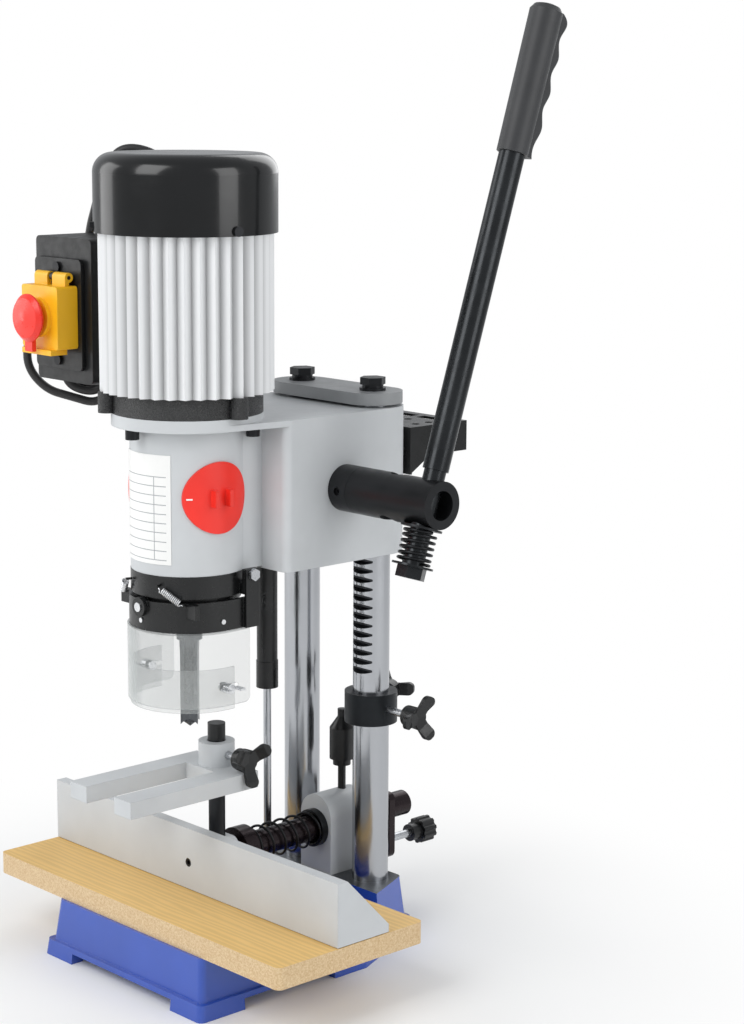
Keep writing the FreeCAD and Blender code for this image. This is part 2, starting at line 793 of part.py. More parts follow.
def base_casting():
    """Hollow blue casting: four feet, column sockets, bench bolt bosses and a machined pad."""
    top = base_outline()
    body = rounded_corners(drafted(grown(top, BASE_DRAFT), 0, top, BASE_HEIGHT), BASE_CORNER_R)
    rim_share = BASE_RIM_HEIGHT / BASE_HEIGHT
    rim_foot = grown(top, BASE_DRAFT + BASE_RIM_STEP)
    rim_top = grown(top, BASE_DRAFT * (1 - rim_share) + BASE_RIM_STEP)
    rim = rounded_corners(drafted(rim_foot, 0, rim_top, BASE_RIM_HEIGHT), BASE_CORNER_R)
    full = HEAD_HALF_WIDTH * 2
    pad_slab = prism([point(x, y, BASE_HEIGHT) for x, y in top], Z_WAY * PAD_THICKNESS)
    pad = rounded_corners(pad_slab, BASE_CORNER_R).common(
        block((-full, full), (VALLEY_REAR_Y, BASE_REAR_Y + full), (BASE_HEIGHT, PAD_Z))
    )
    casting = fused([body, rim, pad])
    valley = block((-full, full), (VALLEY_FRONT_Y, VALLEY_REAR_Y), (VALLEY_Z, PAD_Z + OVERRUN))
    casting = casting.cut(valley)

    inner = grown(top, -BASE_WALL)
    hollow = drafted(grown(inner, BASE_DRAFT), -OVERRUN, inner, BASE_HEIGHT - BASE_WALL)
    low_top = VALLEY_Z - BASE_WALL
    rear_y = VALLEY_FRONT_Y - BASE_WALL
    hollow = hollow.cut(block((-full, full), (rear_y, BASE_REAR_Y), (low_top, BASE_HEIGHT)))
    bosses = []
    for side in SIDES:
        bosses.append(upright(SOCKET_BOSS_R, side * COLUMN_X, COLUMN_Y, 0, BASE_HEIGHT))
    for x, y in bench_holes():
        bosses.append(upright(BENCH_BOSS_R, x, y, 0, BASE_HEIGHT))
    for x, y in table_screw_places():
        bosses.append(upright(2 * TABLE_SCREW_HEAD_R, x, y, TABLE_SCREW_HEAD, BASE_HEIGHT))
    bosses.append(block_pad())
    outer = drafted(grown(top, BASE_DRAFT), 0, top, BASE_HEIGHT)
    hollow = hollow.cut(fused(bosses).common(outer))
    casting = casting.cut(hollow)

    reach = BASE_HALF_WIDTH + 2 * BASE_FOOT_WIDTH
    arch_half = BASE_HALF_WIDTH + BASE_DRAFT + BASE_RIM_STEP - BASE_FOOT_WIDTH
    arch_rear = BASE_SHOULDER_Y + BASE_DRAFT - BASE_FOOT_WIDTH
    arch_front = BASE_SIDE_FOOT_LENGTH - BASE_FRONT - BASE_DRAFT
    arches = [
        block((-arch_half, arch_half), (-reach, -BASE_FRONT + BASE_WALL), (-OVERRUN, BASE_ARCH_HEIGHT)),
        block((-reach, reach), (arch_front, arch_rear), (-OVERRUN, BASE_ARCH_HEIGHT)),
    ]
    cuts = list(arches)
    for side in SIDES:
        x = side * COLUMN_X
        cuts.append(upright(COLUMN_R, x, COLUMN_Y, SOCKET_FLOOR, PAD_Z + OVERRUN))
        back = BASE_REAR_Y + BASE_DRAFT + BASE_RIM_STEP
        cuts.append(rod(SET_SCREW_R, point(x, COLUMN_Y, SET_SCREW_Z), point(x, back, SET_SCREW_Z)))
    for x, y in bench_holes():
        cuts.append(upright(BENCH_TAP_R, x, y, -OVERRUN, BENCH_TAP_DEPTH))
    for x, y in table_screw_places():
        cuts.append(upright(TABLE_SCREW_HEAD_R, x, y, -OVERRUN, table_screw_seat()))
        cuts.append(upright(TABLE_SCREW_R, x, y, 0, BASE_HEIGHT + OVERRUN))
    for x, y in block_screw_places():
        cuts.append(upright(BLOCK_SCREW_HEAD_R, x, y, -OVERRUN, block_screw_seat()))
        cuts.append(upright(BLOCK_SCREW_R, x, y, 0, PAD_Z + OVERRUN))
    casting = drilled(casting, cuts)
    return casting


def rounded_corners(shape, radius):
    """Round every edge that climbs from the lower outline to the upper one."""
    found = []
    for edge in shape.Edges:
        if abs(edge.Vertexes[1].Point.z - edge.Vertexes[0].Point.z) > edge.Length / 2:
            found.append(edge)
    return shape.makeFillet(radius, found)


def table_screw_places():
    return [(i * TABLE_SCREW_X, BENCH_CENTRE_Y + j * TABLE_SCREW_Y) for i in SIDES for j in SIDES]


def table_screw_seat():
    return BASE_HEIGHT - BASE_WALL


def block_screw_places():
    half = (BLOCK_REAR_Y - BLOCK_FRONT_Y) / 2 - 2 * BLOCK_SCREW_HEAD_R
    middle = (BLOCK_REAR_Y + BLOCK_FRONT_Y) / 2
    return [(0, middle + j * half) for j in SIDES]


def block_screw_seat():
    return VALLEY_Z - BASE_WALL


def block_pad():
    """Solid metal of the casting under the fence slide block."""
    return block(
        (-BLOCK_HALF_WIDTH, BLOCK_HALF_WIDTH), (BLOCK_FRONT_Y, BLOCK_REAR_Y), (0, BASE_HEIGHT)
    )


def table_board():
    board = block(
        (-TABLE_HALF_WIDTH, TABLE_HALF_WIDTH), (-TABLE_FRONT, TABLE_REAR_Y), (BASE_HEIGHT, TABLE_TOP_Z)
    )
    board = rounded(board, TABLE_CORNER_R, Z_WAY)
    top = BASE_HEIGHT + TABLE_SCREW_DEPTH
    holes = [upright(TABLE_SCREW_R, x, y, BASE_HEIGHT, top) for x, y in table_screw_places()]
    return board.cut(Part.makeCompound(holes))


def column(side):
    x = side * COLUMN_X
    shaft = upright(COLUMN_R, x, COLUMN_Y, SOCKET_FLOOR, COLUMN_TOP_Z)
    return shaft.cut(
        upright(COLUMN_BOLT_R, x, COLUMN_Y, COLUMN_TOP_Z - COLUMN_BOLT_DEPTH, COLUMN_TOP_Z + OVERRUN)
    )


def right_column():
    """The right column, with the rack's tooth spaces cut across its front."""
    shaft = column(1)
    slope = math.tan(PRESSURE_ANGLE)
    tip = GEAR_MODULE + OVERRUN
    root = DEDENDUM_SHARE * GEAR_MODULE
    half = RACK_PITCH / 4
    outer = half + tip * slope
    inner = half - root * slope
    cuts = []
    for k in range(-RACK_GAPS_BELOW, RACK_GAPS_ABOVE + 1):
        z = PINION_Z + k * RACK_PITCH
        corners = [
            point(COLUMN_X - COLUMN_R, RACK_Y - tip, z - outer),
            point(COLUMN_X - COLUMN_R, RACK_Y + root, z - inner),
            point(COLUMN_X - COLUMN_R, RACK_Y + root, z + inner),
            point(COLUMN_X - COLUMN_R, RACK_Y - tip, z + outer),
        ]
        cuts.append(prism(corners, X_WAY * (2 * COLUMN_R)))
    return shaft.cut(Part.makeCompound(cuts))


def tie_plate():
    ends = [upright(TIE_R, side * COLUMN_X, COLUMN_Y, COLUMN_TOP_Z, TIE_TOP_Z) for side in SIDES]
    bridge = block(
        (-COLUMN_X, COLUMN_X), (COLUMN_Y - TIE_R, COLUMN_Y + TIE_R), (COLUMN_TOP_Z, TIE_TOP_Z)
    )
    plate = fused(ends + [bridge])
    for side in SIDES:
        plate = plate.cut(upright(COLUMN_BOLT_R, side * COLUMN_X, COLUMN_Y, COLUMN_TOP_Z, TIE_TOP_Z))
    return plate


def tie_bolts():
    """A hex bolt on a spring washer and a flat washer over each column."""
    pieces = []
    washer_top = TIE_TOP_Z + TIE_WASHER_THICKNESS
    spring_top = washer_top + SPRING_WASHER_THICKNESS
    for side in SIDES:
        x = side * COLUMN_X
        axis = [point(x, COLUMN_Y, z) for z in (TIE_TOP_Z, washer_top, spring_top)]
        pieces.append(tube(TIE_WASHER_R, COLUMN_BOLT_R, axis[0], axis[1]))
        pieces.append(tube(SPRING_WASHER_R, COLUMN_BOLT_R, axis[1], axis[2]))
        head_top = axis[2] + Z_WAY * TIE_HEAD_HEIGHT
        shank = rod(COLUMN_BOLT_R, point(x, COLUMN_Y, COLUMN_TOP_Z - COLUMN_BOLT_DEPTH), axis[2])
        pieces.append(hexagon(TIE_HEAD_ACROSS, axis[2], head_top).fuse(shank))
    return pieces


def base_screws():
    """Table screws from below, block screws from below and the column set screws."""
    pieces = []
    for x, y in table_screw_places():
        seat = table_screw_seat()
        head = upright(TABLE_SCREW_HEAD_R, x, y, seat - TABLE_SCREW_HEAD, seat)
        pieces.append(head.fuse(upright(TABLE_SCREW_R, x, y, seat, BASE_HEIGHT + TABLE_SCREW_DEPTH)))
    for x, y in block_screw_places():
        seat = block_screw_seat()
        head = upright(BLOCK_SCREW_HEAD_R, x, y, seat - BLOCK_SCREW_HEAD, seat)
        pieces.append(head.fuse(upright(BLOCK_SCREW_R, x, y, seat, PAD_Z + BLOCK_SCREW_DEPTH)))
    for side in SIDES:
        start = point(side * COLUMN_X, COLUMN_Y + COLUMN_R, SET_SCREW_Z)
        screw = rod(SET_SCREW_R, start, start + Y_WAY * SET_SCREW_LENGTH)
        key_start = start + Y_WAY * (SET_SCREW_LENGTH / 2)
        key = hexagon(SET_SCREW_R, key_start, start + Y_WAY * (SET_SCREW_LENGTH + OVERRUN))
        pieces.append(screw.cut(upright(COLUMN_R, side * COLUMN_X, COLUMN_Y, 0, BASE_HEIGHT)).cut(key))
    return pieces


def fence_block():
    """Arched block on the pad that carries the fence rod, the lock stud and the spring's cup."""
    shoulder = BLOCK_TOP_Z - BLOCK_HALF_WIDTH
    body = block(
        (-BLOCK_HALF_WIDTH, BLOCK_HALF_WIDTH), (BLOCK_FRONT_Y, BLOCK_REAR_Y), (PAD_Z, shoulder)
    )
    arch = rod(BLOCK_HALF_WIDTH, point(0, BLOCK_FRONT_Y, shoulder), point(0, BLOCK_REAR_Y, shoulder))
    whole = fused([body, arch])
    cuts = [
        rod(
            FENCE_ROD_R + RUNNING_FIT,
            point(0, BLOCK_FRONT_Y - OVERRUN, FENCE_ROD_Z),
            point(0, BLOCK_REAR_Y + OVERRUN, FENCE_ROD_Z),
        ),
        upright(LOCK_STUD_R + RUNNING_FIT, 0, LOCK_Y, FENCE_ROD_Z, BLOCK_TOP_Z + OVERRUN),
    ]
    for x, y in block_screw_places():
        cuts.append(upright(BLOCK_SCREW_R, x, y, PAD_Z, PAD_Z + BLOCK_SCREW_DEPTH))
    return drilled(whole, cuts)


def spring_cup():
    """Black cup pressed on the block's face, in which the fence spring ends."""
    floor_y = BLOCK_FRONT_Y - SPRING_CUP_WALL
    front_y = BLOCK_FRONT_Y - SPRING_CUP_LENGTH
    cup = rod(SPRING_CUP_R, point(0, front_y, FENCE_ROD_Z), point(0, BLOCK_FRONT_Y, FENCE_ROD_Z))
    room_r = FENCE_COIL_R + FENCE_WIRE_R + SLIDING_GAP
    room = rod(room_r, point(0, front_y - OVERRUN, FENCE_ROD_Z), point(0, floor_y, FENCE_ROD_Z))
    hole_r = FENCE_ROD_R + SLIDING_GAP
    hole = rod(hole_r, point(0, front_y, FENCE_ROD_Z), point(0, BLOCK_FRONT_Y, FENCE_ROD_Z))
    return cup.cut(room).cut(hole)


def fence_spring():
    """Open spring round the fence rod, from the rod's collar to the cup's floor."""
    front = ROD_COLLAR_FRONT_Y + ROD_COLLAR_WIDTH + FENCE_WIRE_R + SLIDING_GAP
    rear = BLOCK_FRONT_Y - SPRING_CUP_WALL - FENCE_WIRE_R - SLIDING_GAP
    knots = coil_knots(
        point(0, front, FENCE_ROD_Z),
        Y_WAY,
        FENCE_COIL_R,
        rear - front,
        FENCE_COIL_TURNS + 2,
        1,
        FENCE_COIL_CLOSED_PITCH,
    )
    spring, path = wound(knots, FENCE_WIRE_R)
    self_gap("fence_spring", path, FENCE_WIRE_R, math.pi * FENCE_COIL_R)
    return spring


def strut_foot():
    """Piston rod of the gas strut with its foot on the base and the piston inside the cylinder."""
    foot_top = BASE_HEIGHT + STRUT_FOOT_HEIGHT
    foot = upright(STRUT_FOOT_R, STRUT_X, STRUT_Y, BASE_HEIGHT, foot_top)
    stem = upright(STRUT_ROD_R, STRUT_X, STRUT_Y, BASE_HEIGHT, STRUT_SLEEVE_TOP_Z + STRUT_PISTON)
    piston_r = STRUT_R - STRUT_WALL - RUNNING_FIT
    piston = upright(
        piston_r, STRUT_X, STRUT_Y, STRUT_SLEEVE_TOP_Z, STRUT_SLEEVE_TOP_Z + STRUT_PISTON
    )
    return fused([foot, stem, piston])


def strut_cylinder():
    """Black gas strut cylinder that hangs from the head, with its lower sleeve."""
    body = upright(STRUT_R, STRUT_X, STRUT_Y, STRUT_BOTTOM_Z, HEAD_BOTTOM_Z)
    sleeve = upright(STRUT_SLEEVE_R, STRUT_X, STRUT_Y, STRUT_BOTTOM_Z, STRUT_SLEEVE_TOP_Z)
    whole = fused([body, sleeve])
    room_bottom = STRUT_SLEEVE_TOP_Z - STRUT_PISTON
    room = upright(STRUT_R - STRUT_WALL, STRUT_X, STRUT_Y, room_bottom, HEAD_BOTTOM_Z - STRUT_PISTON)
    neck = upright(STRUT_ROD_R + RUNNING_FIT, STRUT_X, STRUT_Y, STRUT_BOTTOM_Z - OVERRUN, HEAD_BOTTOM_Z)
    neck = neck.common(upright(STRUT_R, STRUT_X, STRUT_Y, STRUT_BOTTOM_Z - OVERRUN, room_bottom))
    return whole.cut(room).cut(neck)


def door_way(side):
    """The direction that a barrel door faces."""
    angle = math.radians(DOOR_AZIMUTH)
    return point(side * math.sin(angle), -math.cos(angle), 0)


def screw_angles():
    return [MOTOR_SCREW_ANGLE + i * FULL_TURN / RING_LUGS for i in range(RING_LUGS)]


def barrel_solid(low, high):
    """Round barrel with a narrower neck that runs back to the head's box."""
    neck = block((-BARREL_NECK, BARREL_NECK), (0, HEAD_FRONT_Y), (low, high))
    return fused([upright(BARREL_R, 0, 0, low, high), neck])


def head_casting():
    """Gray casting: a box on the columns, the round barrel, the motor flange and the chisel boss."""
    box = block(
        (-HEAD_HALF_WIDTH, HEAD_HALF_WIDTH), (HEAD_FRONT_Y, HEAD_REAR_Y), (HEAD_BOTTOM_Z, HEAD_TOP_Z)
    )
    box = rounded(box, HEAD_REAR_R, Z_WAY, lambda p: p.y > COLUMN_Y)
    box = rounded(box, HEAD_EDGE_R, Z_WAY, lambda p: p.y < HEAD_FRONT_Y + HEAD_EDGE_R)
    barrel = barrel_solid(BARREL_BOTTOM_Z, HEAD_TOP_Z)
    flange_bottom = FLANGE_TOP_Z - FLANGE_THICKNESS
    flange = upright(FLANGE_R, 0, 0, flange_bottom, FLANGE_TOP_Z)
    corner_y = HEAD_FRONT_Y + HEAD_EDGE_R
    corner_reach = math.hypot(HEAD_HALF_WIDTH, corner_y)
    tangent = math.atan2(corner_y, HEAD_HALF_WIDTH) - math.acos(FLANGE_R / corner_reach)
    tx = FLANGE_R * math.cos(tangent)
    ty = FLANGE_R * math.sin(tangent)
    gusset = prism(
        [
            point(-HEAD_HALF_WIDTH, corner_y, flange_bottom),
            point(-tx, ty, flange_bottom),
            point(tx, ty, flange_bottom),
            point(HEAD_HALF_WIDTH, corner_y, flange_bottom),
        ],
        Z_WAY * (HEAD_TOP_Z - flange_bottom),
    )
    boss = upright(CHISEL_BOSS_R, 0, 0, CHISEL_BOSS_BOTTOM_Z, BARREL_BOTTOM_Z + BARREL_WEB)
    casting = fused([box, barrel, flange, gusset, boss])

    web_top = BARREL_BOTTOM_Z + BARREL_WEB
    cavity_front = max(BARREL_R, HEAD_FRONT_Y + HEAD_WALL)
    pinion_left = COLUMN_X - GEAR_WIDTH / 2 - PINION_SIDE_GAP
    pinion_right = HEAD_HALF_WIDTH - HEAD_WALL
    pinion_r = PINION_TIP_R + PINION_TIP_GAP
    wheel_room = rod(
        pinion_r, point(pinion_left, PINION_Y, PINION_Z), point(pinion_right, PINION_Y, PINION_Z)
    )
    wheel_drop = block(
        (pinion_left, pinion_right), (PINION_Y - pinion_r, PINION_Y + pinion_r), (0, PINION_Z)
    )
    wheel_drop = wheel_drop.common(
        block((-FLANGE_R, FLANGE_R), (cavity_front, COLUMN_Y), (HEAD_BOTTOM_Z - OVERRUN, PINION_Z))
    )
    left_room = block(
        (-HEAD_HALF_WIDTH + HEAD_WALL, SHAFT_WEB_X),
        (cavity_front, COLUMN_Y - COLUMN_R - HEAD_WALL),
        (HEAD_BOTTOM_Z + HEAD_WALL, HEAD_TOP_Z - HEAD_WALL),
    )
    cuts = [
        upright(BARREL_BORE_R, 0, 0, web_top, flange_bottom),
        upright(FLANGE_BORE_R, 0, 0, flange_bottom - OVERRUN, FLANGE_TOP_Z + OVERRUN),
        upright(BUSHING_R, 0, 0, CHISEL_BOSS_BOTTOM_Z - OVERRUN, web_top + OVERRUN),
        wheel_room,
        wheel_drop,
        left_room,
        rod(
            SHAFT_R + RUNNING_FIT,
            point(SHAFT_WEB_X - OVERRUN, PINION_Y, PINION_Z),
            point(HEAD_HALF_WIDTH + OVERRUN, PINION_Y, PINION_Z),
        ),
    ]
    for side in SIDES:
        cuts.append(
            upright(
                COLUMN_R + RUNNING_FIT,
                side * COLUMN_X,
                COLUMN_Y,
                HEAD_BOTTOM_Z - OVERRUN,
                HEAD_TOP_Z + OVERRUN,
            )
        )
        way = door_way(side)
        middle = point(0, 0, DOOR_Z)
        cuts.append(rod(DOOR_PLUG_R, middle, middle + way * FLANGE_R))
        screw_x = side * HOLDER_SCREW_X
        cuts.append(
            rod(
                HOLDER_SCREW_R,
                point(screw_x, HEAD_REAR_Y - HEAD_WALL, HOLDER_SCREW_Z),
                point(screw_x, HEAD_REAR_Y + OVERRUN, HOLDER_SCREW_Z),
            )
        )
    for angle in screw_angles():
        spot = around(0, 0, MOTOR_SCREW_PLACE, angle, flange_bottom - OVERRUN)
        cuts.append(rod(MOTOR_SCREW_R, spot, spot + Z_WAY * (FLANGE_THICKNESS + 2 * OVERRUN)))
    clamp_z = (CHISEL_BOSS_BOTTOM_Z + GUARD_FLANGE_BOTTOM_Z) / 2
    cuts.append(rod(GRUB_R, point(0, BUSHING_R - OVERRUN, clamp_z), point(0, CHISEL_BOSS_R, clamp_z)))
    return drilled(casting, cuts)


def tooth_half_angle(radius):
    """Half the angle that one involute tooth takes at a radius of the pinion."""
    base_r = PINION_R * math.cos(PRESSURE_ANGLE)
    turn = math.acos(min(base_r / radius, 1))
    involute = math.tan(turn) - turn
    start = math.tan(PRESSURE_ANGLE) - PRESSURE_ANGLE
    thickness = RACK_PITCH / 2 - TOOTH_BACKLASH
    return thickness / (2 * PINION_R) + start - involute


def pinion():
    """Gear of the rack feed and its shaft, which runs through the head's right wall."""
    base_r = PINION_R * math.cos(PRESSURE_ANGLE)
    radii = [PINION_ROOT_R, base_r, PINION_R, (PINION_R + PINION_TIP_R) / 2, PINION_TIP_R]
    corners = []
    left = COLUMN_X - GEAR_WIDTH / 2
    for tooth in range(PINION_TEETH):
        middle = 2 * math.pi * tooth / PINION_TEETH
        for side, order in ((-1, radii), (1, radii[::-1])):
            for radius in order:
                angle = middle + side * tooth_half_angle(max(radius, base_r))
                corners.append(
                    point(
                        left,
                        PINION_Y + radius * math.cos(angle),
                        PINION_Z + radius * math.sin(angle),
                    )
                )
    gear = prism(corners, X_WAY * GEAR_WIDTH)
    shaft = rod(SHAFT_R, point(SHAFT_WEB_X, PINION_Y, PINION_Z), point(SHAFT_END_X, PINION_Y, PINION_Z))
    hub_r = 2 * SHAFT_R
    gap = PINION_SIDE_GAP / 2
    hub_start = point(left - gap, PINION_Y, PINION_Z)
    hub = rod(hub_r, hub_start, hub_start + X_WAY * (GEAR_WIDTH + 2 * gap))
    return fused([gear, shaft, hub])


def hub_collar():
    """Set collar outside the head's wall, with its set screw towards the front."""
    start = point(HEAD_HALF_WIDTH + COLLAR_GAP, PINION_Y, PINION_Z)
    end = start + X_WAY * COLLAR_LENGTH
    ring = tube(HUB_R, SHAFT_R, start, end)
    middle = (start + end) * 0.5
    hole = rod(GRUB_R, middle, middle - Y_WAY * (HUB_R + OVERRUN))
    seat = middle - Y_WAY * SHAFT_R
    grub = rod(GRUB_R, seat, seat - Y_WAY * GRUB_LENGTH)
    key = hexagon(GRUB_R, seat - Y_WAY * (GRUB_LENGTH / 2), seat - Y_WAY * (GRUB_LENGTH + OVERRUN))
    shaft = rod(SHAFT_R, start - X_WAY, end + X_WAY)
    return [ring.cut(hole), grub.cut(key).cut(shaft)]


def lever_way():
    return point(0, math.sin(LEVER_TILT), math.cos(LEVER_TILT))


def on_lever(along):
    return point(LEVER_X, PINION_Y, PINION_Z) + lever_way() * along


def lever_hub():
    """Hollow hub on the pinion shaft, with two cross holes for the lever, and the lever's seat washer."""
    start = point(HUB_START_X, PINION_Y, PINION_Z)
    end = point(HUB_END_X, PINION_Y, PINION_Z)
    body = rod(HUB_R, start, end)
    bore_start = point(SHAFT_END_X, PINION_Y, PINION_Z)
    reach = lever_way() * (HUB_R + OVERRUN)
    other = point(HUB_CROSS_X, PINION_Y, PINION_Z)
    lever_hole_r = LEVER_ROD_R + 2 * RUNNING_FIT
    cuts = [
        rod(HUB_BORE_R, bore_start, end + X_WAY * OVERRUN),
        rod(SHAFT_R, start - X_WAY * OVERRUN, bore_start),
        rod(lever_hole_r, on_lever(0) - reach, on_lever(0) + reach),
        rod(lever_hole_r, other - reach, other + reach),
    ]
    washer = tube(LEVER_WASHER_R, lever_hole_r, on_lever(-HUB_R - LEVER_WASHER), on_lever(-HUB_R))
    return [drilled(body, cuts), washer]


def lever_spring_span():
    top = -HUB_R - LEVER_WASHER
    return top, top - LEVER_SPRING_LENGTH


def lever_rod():
    """The lever: a rod through the hub, a thicker tube above it, with a tapped lower end."""
    bottom = lever_spring_span()[1]
    grip_inside = LEVER_GRIP_END - LEVER_GRIP_DOME * 2
    lower = rod(LEVER_ROD_R, on_lever(bottom), on_lever(LEVER_NECK))
    upper = rod(LEVER_TUBE_R, on_lever(LEVER_NECK), on_lever(grip_inside))
    whole = fused([lower, upper])
    return whole.cut(rod(LEVER_BOLT_R, on_lever(bottom), on_lever(bottom + LEVER_BOLT_DEPTH)))


def grip_ridge():
    """Finger ridge down the rear of the grip, waved along its crest."""
    rear = lever_way().cross(X_WAY)
    half = X_WAY * GRIP_RIDGE_HALF_WIDTH
    crest = [on_lever(LEVER_GRIP_END - down) + rear * out - half for down, out in GRIP_RIDGE_CREST]
    wave = Part.BSplineCurve()
    wave.interpolate(crest)
    ends = (GRIP_RIDGE_CREST[-1], GRIP_RIDGE_CREST[0])
    root = [on_lever(LEVER_GRIP_END - down) - half for down, out in ends]
    back = Part.makePolygon([crest[-1]] + root + [crest[0]])
    ridge = Part.Face(Part.Wire([wave.toShape()] + back.Edges)).extrude(half * 2)
    waved = [edge for edge in ridge.Edges if isinstance(edge.Curve, Part.BSplineCurve)]
    return ridge.makeFillet(GRIP_RIDGE_R, waved)


def lever_grip():
    """Long moulded grip, domed at its top, with a finger ridge."""
    length = LEVER_GRIP_END - LEVER_GRIP_START
    cut_in = LEVER_GRIP_END - LEVER_GRIP_DOME * 2 - LEVER_GRIP_START
    outline = [
        (0, 0),
        (LEVER_GRIP_LOW_R, 0),
        (LEVER_GRIP_TOP_R, length - LEVER_GRIP_DOME),
        (LEVER_GRIP_TOP_R - LEVER_GRIP_DOME / 2, length - LEVER_GRIP_DOME / 4),
        (LEVER_GRIP_TOP_R / 2, length),
        (0, length),
    ]
    body = fused([turned(outline, on_lever(LEVER_GRIP_START), lever_way()), grip_ridge()])
    return body.cut(rod(LEVER_TUBE_R, on_lever(LEVER_GRIP_START), on_lever(LEVER_GRIP_START + cut_in)))


def lever_bolt():
    """Bolt and wide washer that hold the spring on the lever's lower end."""
    bottom = lever_spring_span()[1]
    washer_low = bottom - LEVER_WASHER
    washer = tube(LEVER_WASHER_R, LEVER_BOLT_R, on_lever(washer_low), on_lever(bottom))
    head = hexagon(LEVER_HEAD_ACROSS, on_lever(washer_low - LEVER_HEAD_HEIGHT), on_lever(washer_low))
    shank = rod(LEVER_BOLT_R, on_lever(washer_low), on_lever(bottom + LEVER_BOLT_DEPTH))
    return [washer, head.fuse(shank)]


def lever_spring():
    bottom = lever_spring_span()[1]
    seat = LEVER_WIRE_R + SLIDING_GAP
    knots = coil_knots(
        on_lever(bottom + seat),
        lever_way(),
        LEVER_COIL_R,
        LEVER_SPRING_LENGTH - 2 * seat,
        LEVER_SPRING_TURNS + 1,
        1,
        LEVER_COIL_CLOSED_PITCH,
    )
    spring, path = wound(knots, LEVER_WIRE_R)
    self_gap("lever_spring", path, LEVER_WIRE_R, math.pi * LEVER_COIL_R)
    return spring


def motor_base_ring():
    """Rough cast end shield of the motor, with its bearing seat and three bolt lugs."""
    ring = upright(RING_R, 0, 0, FLANGE_TOP_Z, RING_TOP_Z)
    lugs = []
    for i in range(RING_LUGS):
        spot = around(0, 0, RING_LUG_PLACE, i * FULL_TURN / RING_LUGS, FLANGE_TOP_Z + SLIDING_GAP)
        lugs.append(rod(RING_LUG_R, spot, point(spot.x, spot.y, RING_TOP_Z)))
    whole = fused([ring] + lugs)
    recess = tube(
        RING_R - RING_WALL,
        RING_HUB_R,
        point(0, 0, FLANGE_TOP_Z + RING_FLOOR + MOTOR_SCREW_DEPTH / 2),
        point(0, 0, RING_TOP_Z + OVERRUN),
    )
    cuts = [
        recess,
        upright(BEARING_R, 0, 0, RING_TOP_Z - BEARING_WIDTH, RING_TOP_Z + OVERRUN),
        upright(MOTOR_SHAFT_R + SHAFT_CLEARANCE, 0, 0, FLANGE_TOP_Z - OVERRUN, RING_TOP_Z),
    ]
    for angle in screw_angles():
        spot = around(0, 0, MOTOR_SCREW_PLACE, angle, FLANGE_TOP_Z - OVERRUN)
        cuts.append(rod(MOTOR_SCREW_R, spot, spot + Z_WAY * (OVERRUN + MOTOR_SCREW_DEPTH)))
    return drilled(whole, cuts)


def motor_screws():
    """Socket screws under the flange, the cover's screws, the tool holder's and the chisel clamp."""
    pieces = []
    flange_bottom = FLANGE_TOP_Z - FLANGE_THICKNESS
    for angle in screw_angles():
        spot = around(0, 0, MOTOR_SCREW_PLACE, angle, flange_bottom)
        head = rod(MOTOR_SCREW_HEAD_R, spot - Z_WAY * MOTOR_SCREW_HEAD, spot)
        barrel = barrel_solid(BARREL_BOTTOM_Z, HEAD_TOP_Z)
        shank = rod(MOTOR_SCREW_R, spot, spot + Z_WAY * (FLANGE_THICKNESS + MOTOR_SCREW_DEPTH))
        pieces.append(head.cut(barrel).fuse(shank))
    for i in range(COVER_SCREWS):
        angle = math.radians(COVER_SCREW_ANGLE + i * FULL_TURN / COVER_SCREWS)
        way = point(math.cos(angle), math.sin(angle), 0)
        spot = point(0, 0, cover_screw_z()) + way * COVER_R
        head = rod(COVER_SCREW_HEAD_R, spot, spot + way * COVER_SCREW_HEAD)
        head = head.fuse(rod(COVER_SCREW_R, spot - way * COVER_SCREW_DEPTH, spot))
        pieces.append(head)
    for side in SIDES:
        spot = point(side * HOLDER_SCREW_X, HEAD_REAR_Y + HOLDER_SHEET, HOLDER_SCREW_Z)
        head = rod(HOLDER_SCREW_HEAD_R, spot, spot + Y_WAY * HOLDER_SCREW_HEAD)
        shank = rod(HOLDER_SCREW_R, spot - Y_WAY * (HOLDER_SHEET + HEAD_WALL), spot)
        pieces.append(head.fuse(shank))
    clamp_z = (CHISEL_BOSS_BOTTOM_Z + GUARD_FLANGE_BOTTOM_Z) / 2
    pieces.append(rod(GRUB_R, point(0, BUSHING_R, clamp_z), point(0, BUSHING_R + GRUB_LENGTH, clamp_z)))
    return pieces


def cover_screw_z():
    return HOUSING_TOP_Z + HOUSING_SPIGOT / 2


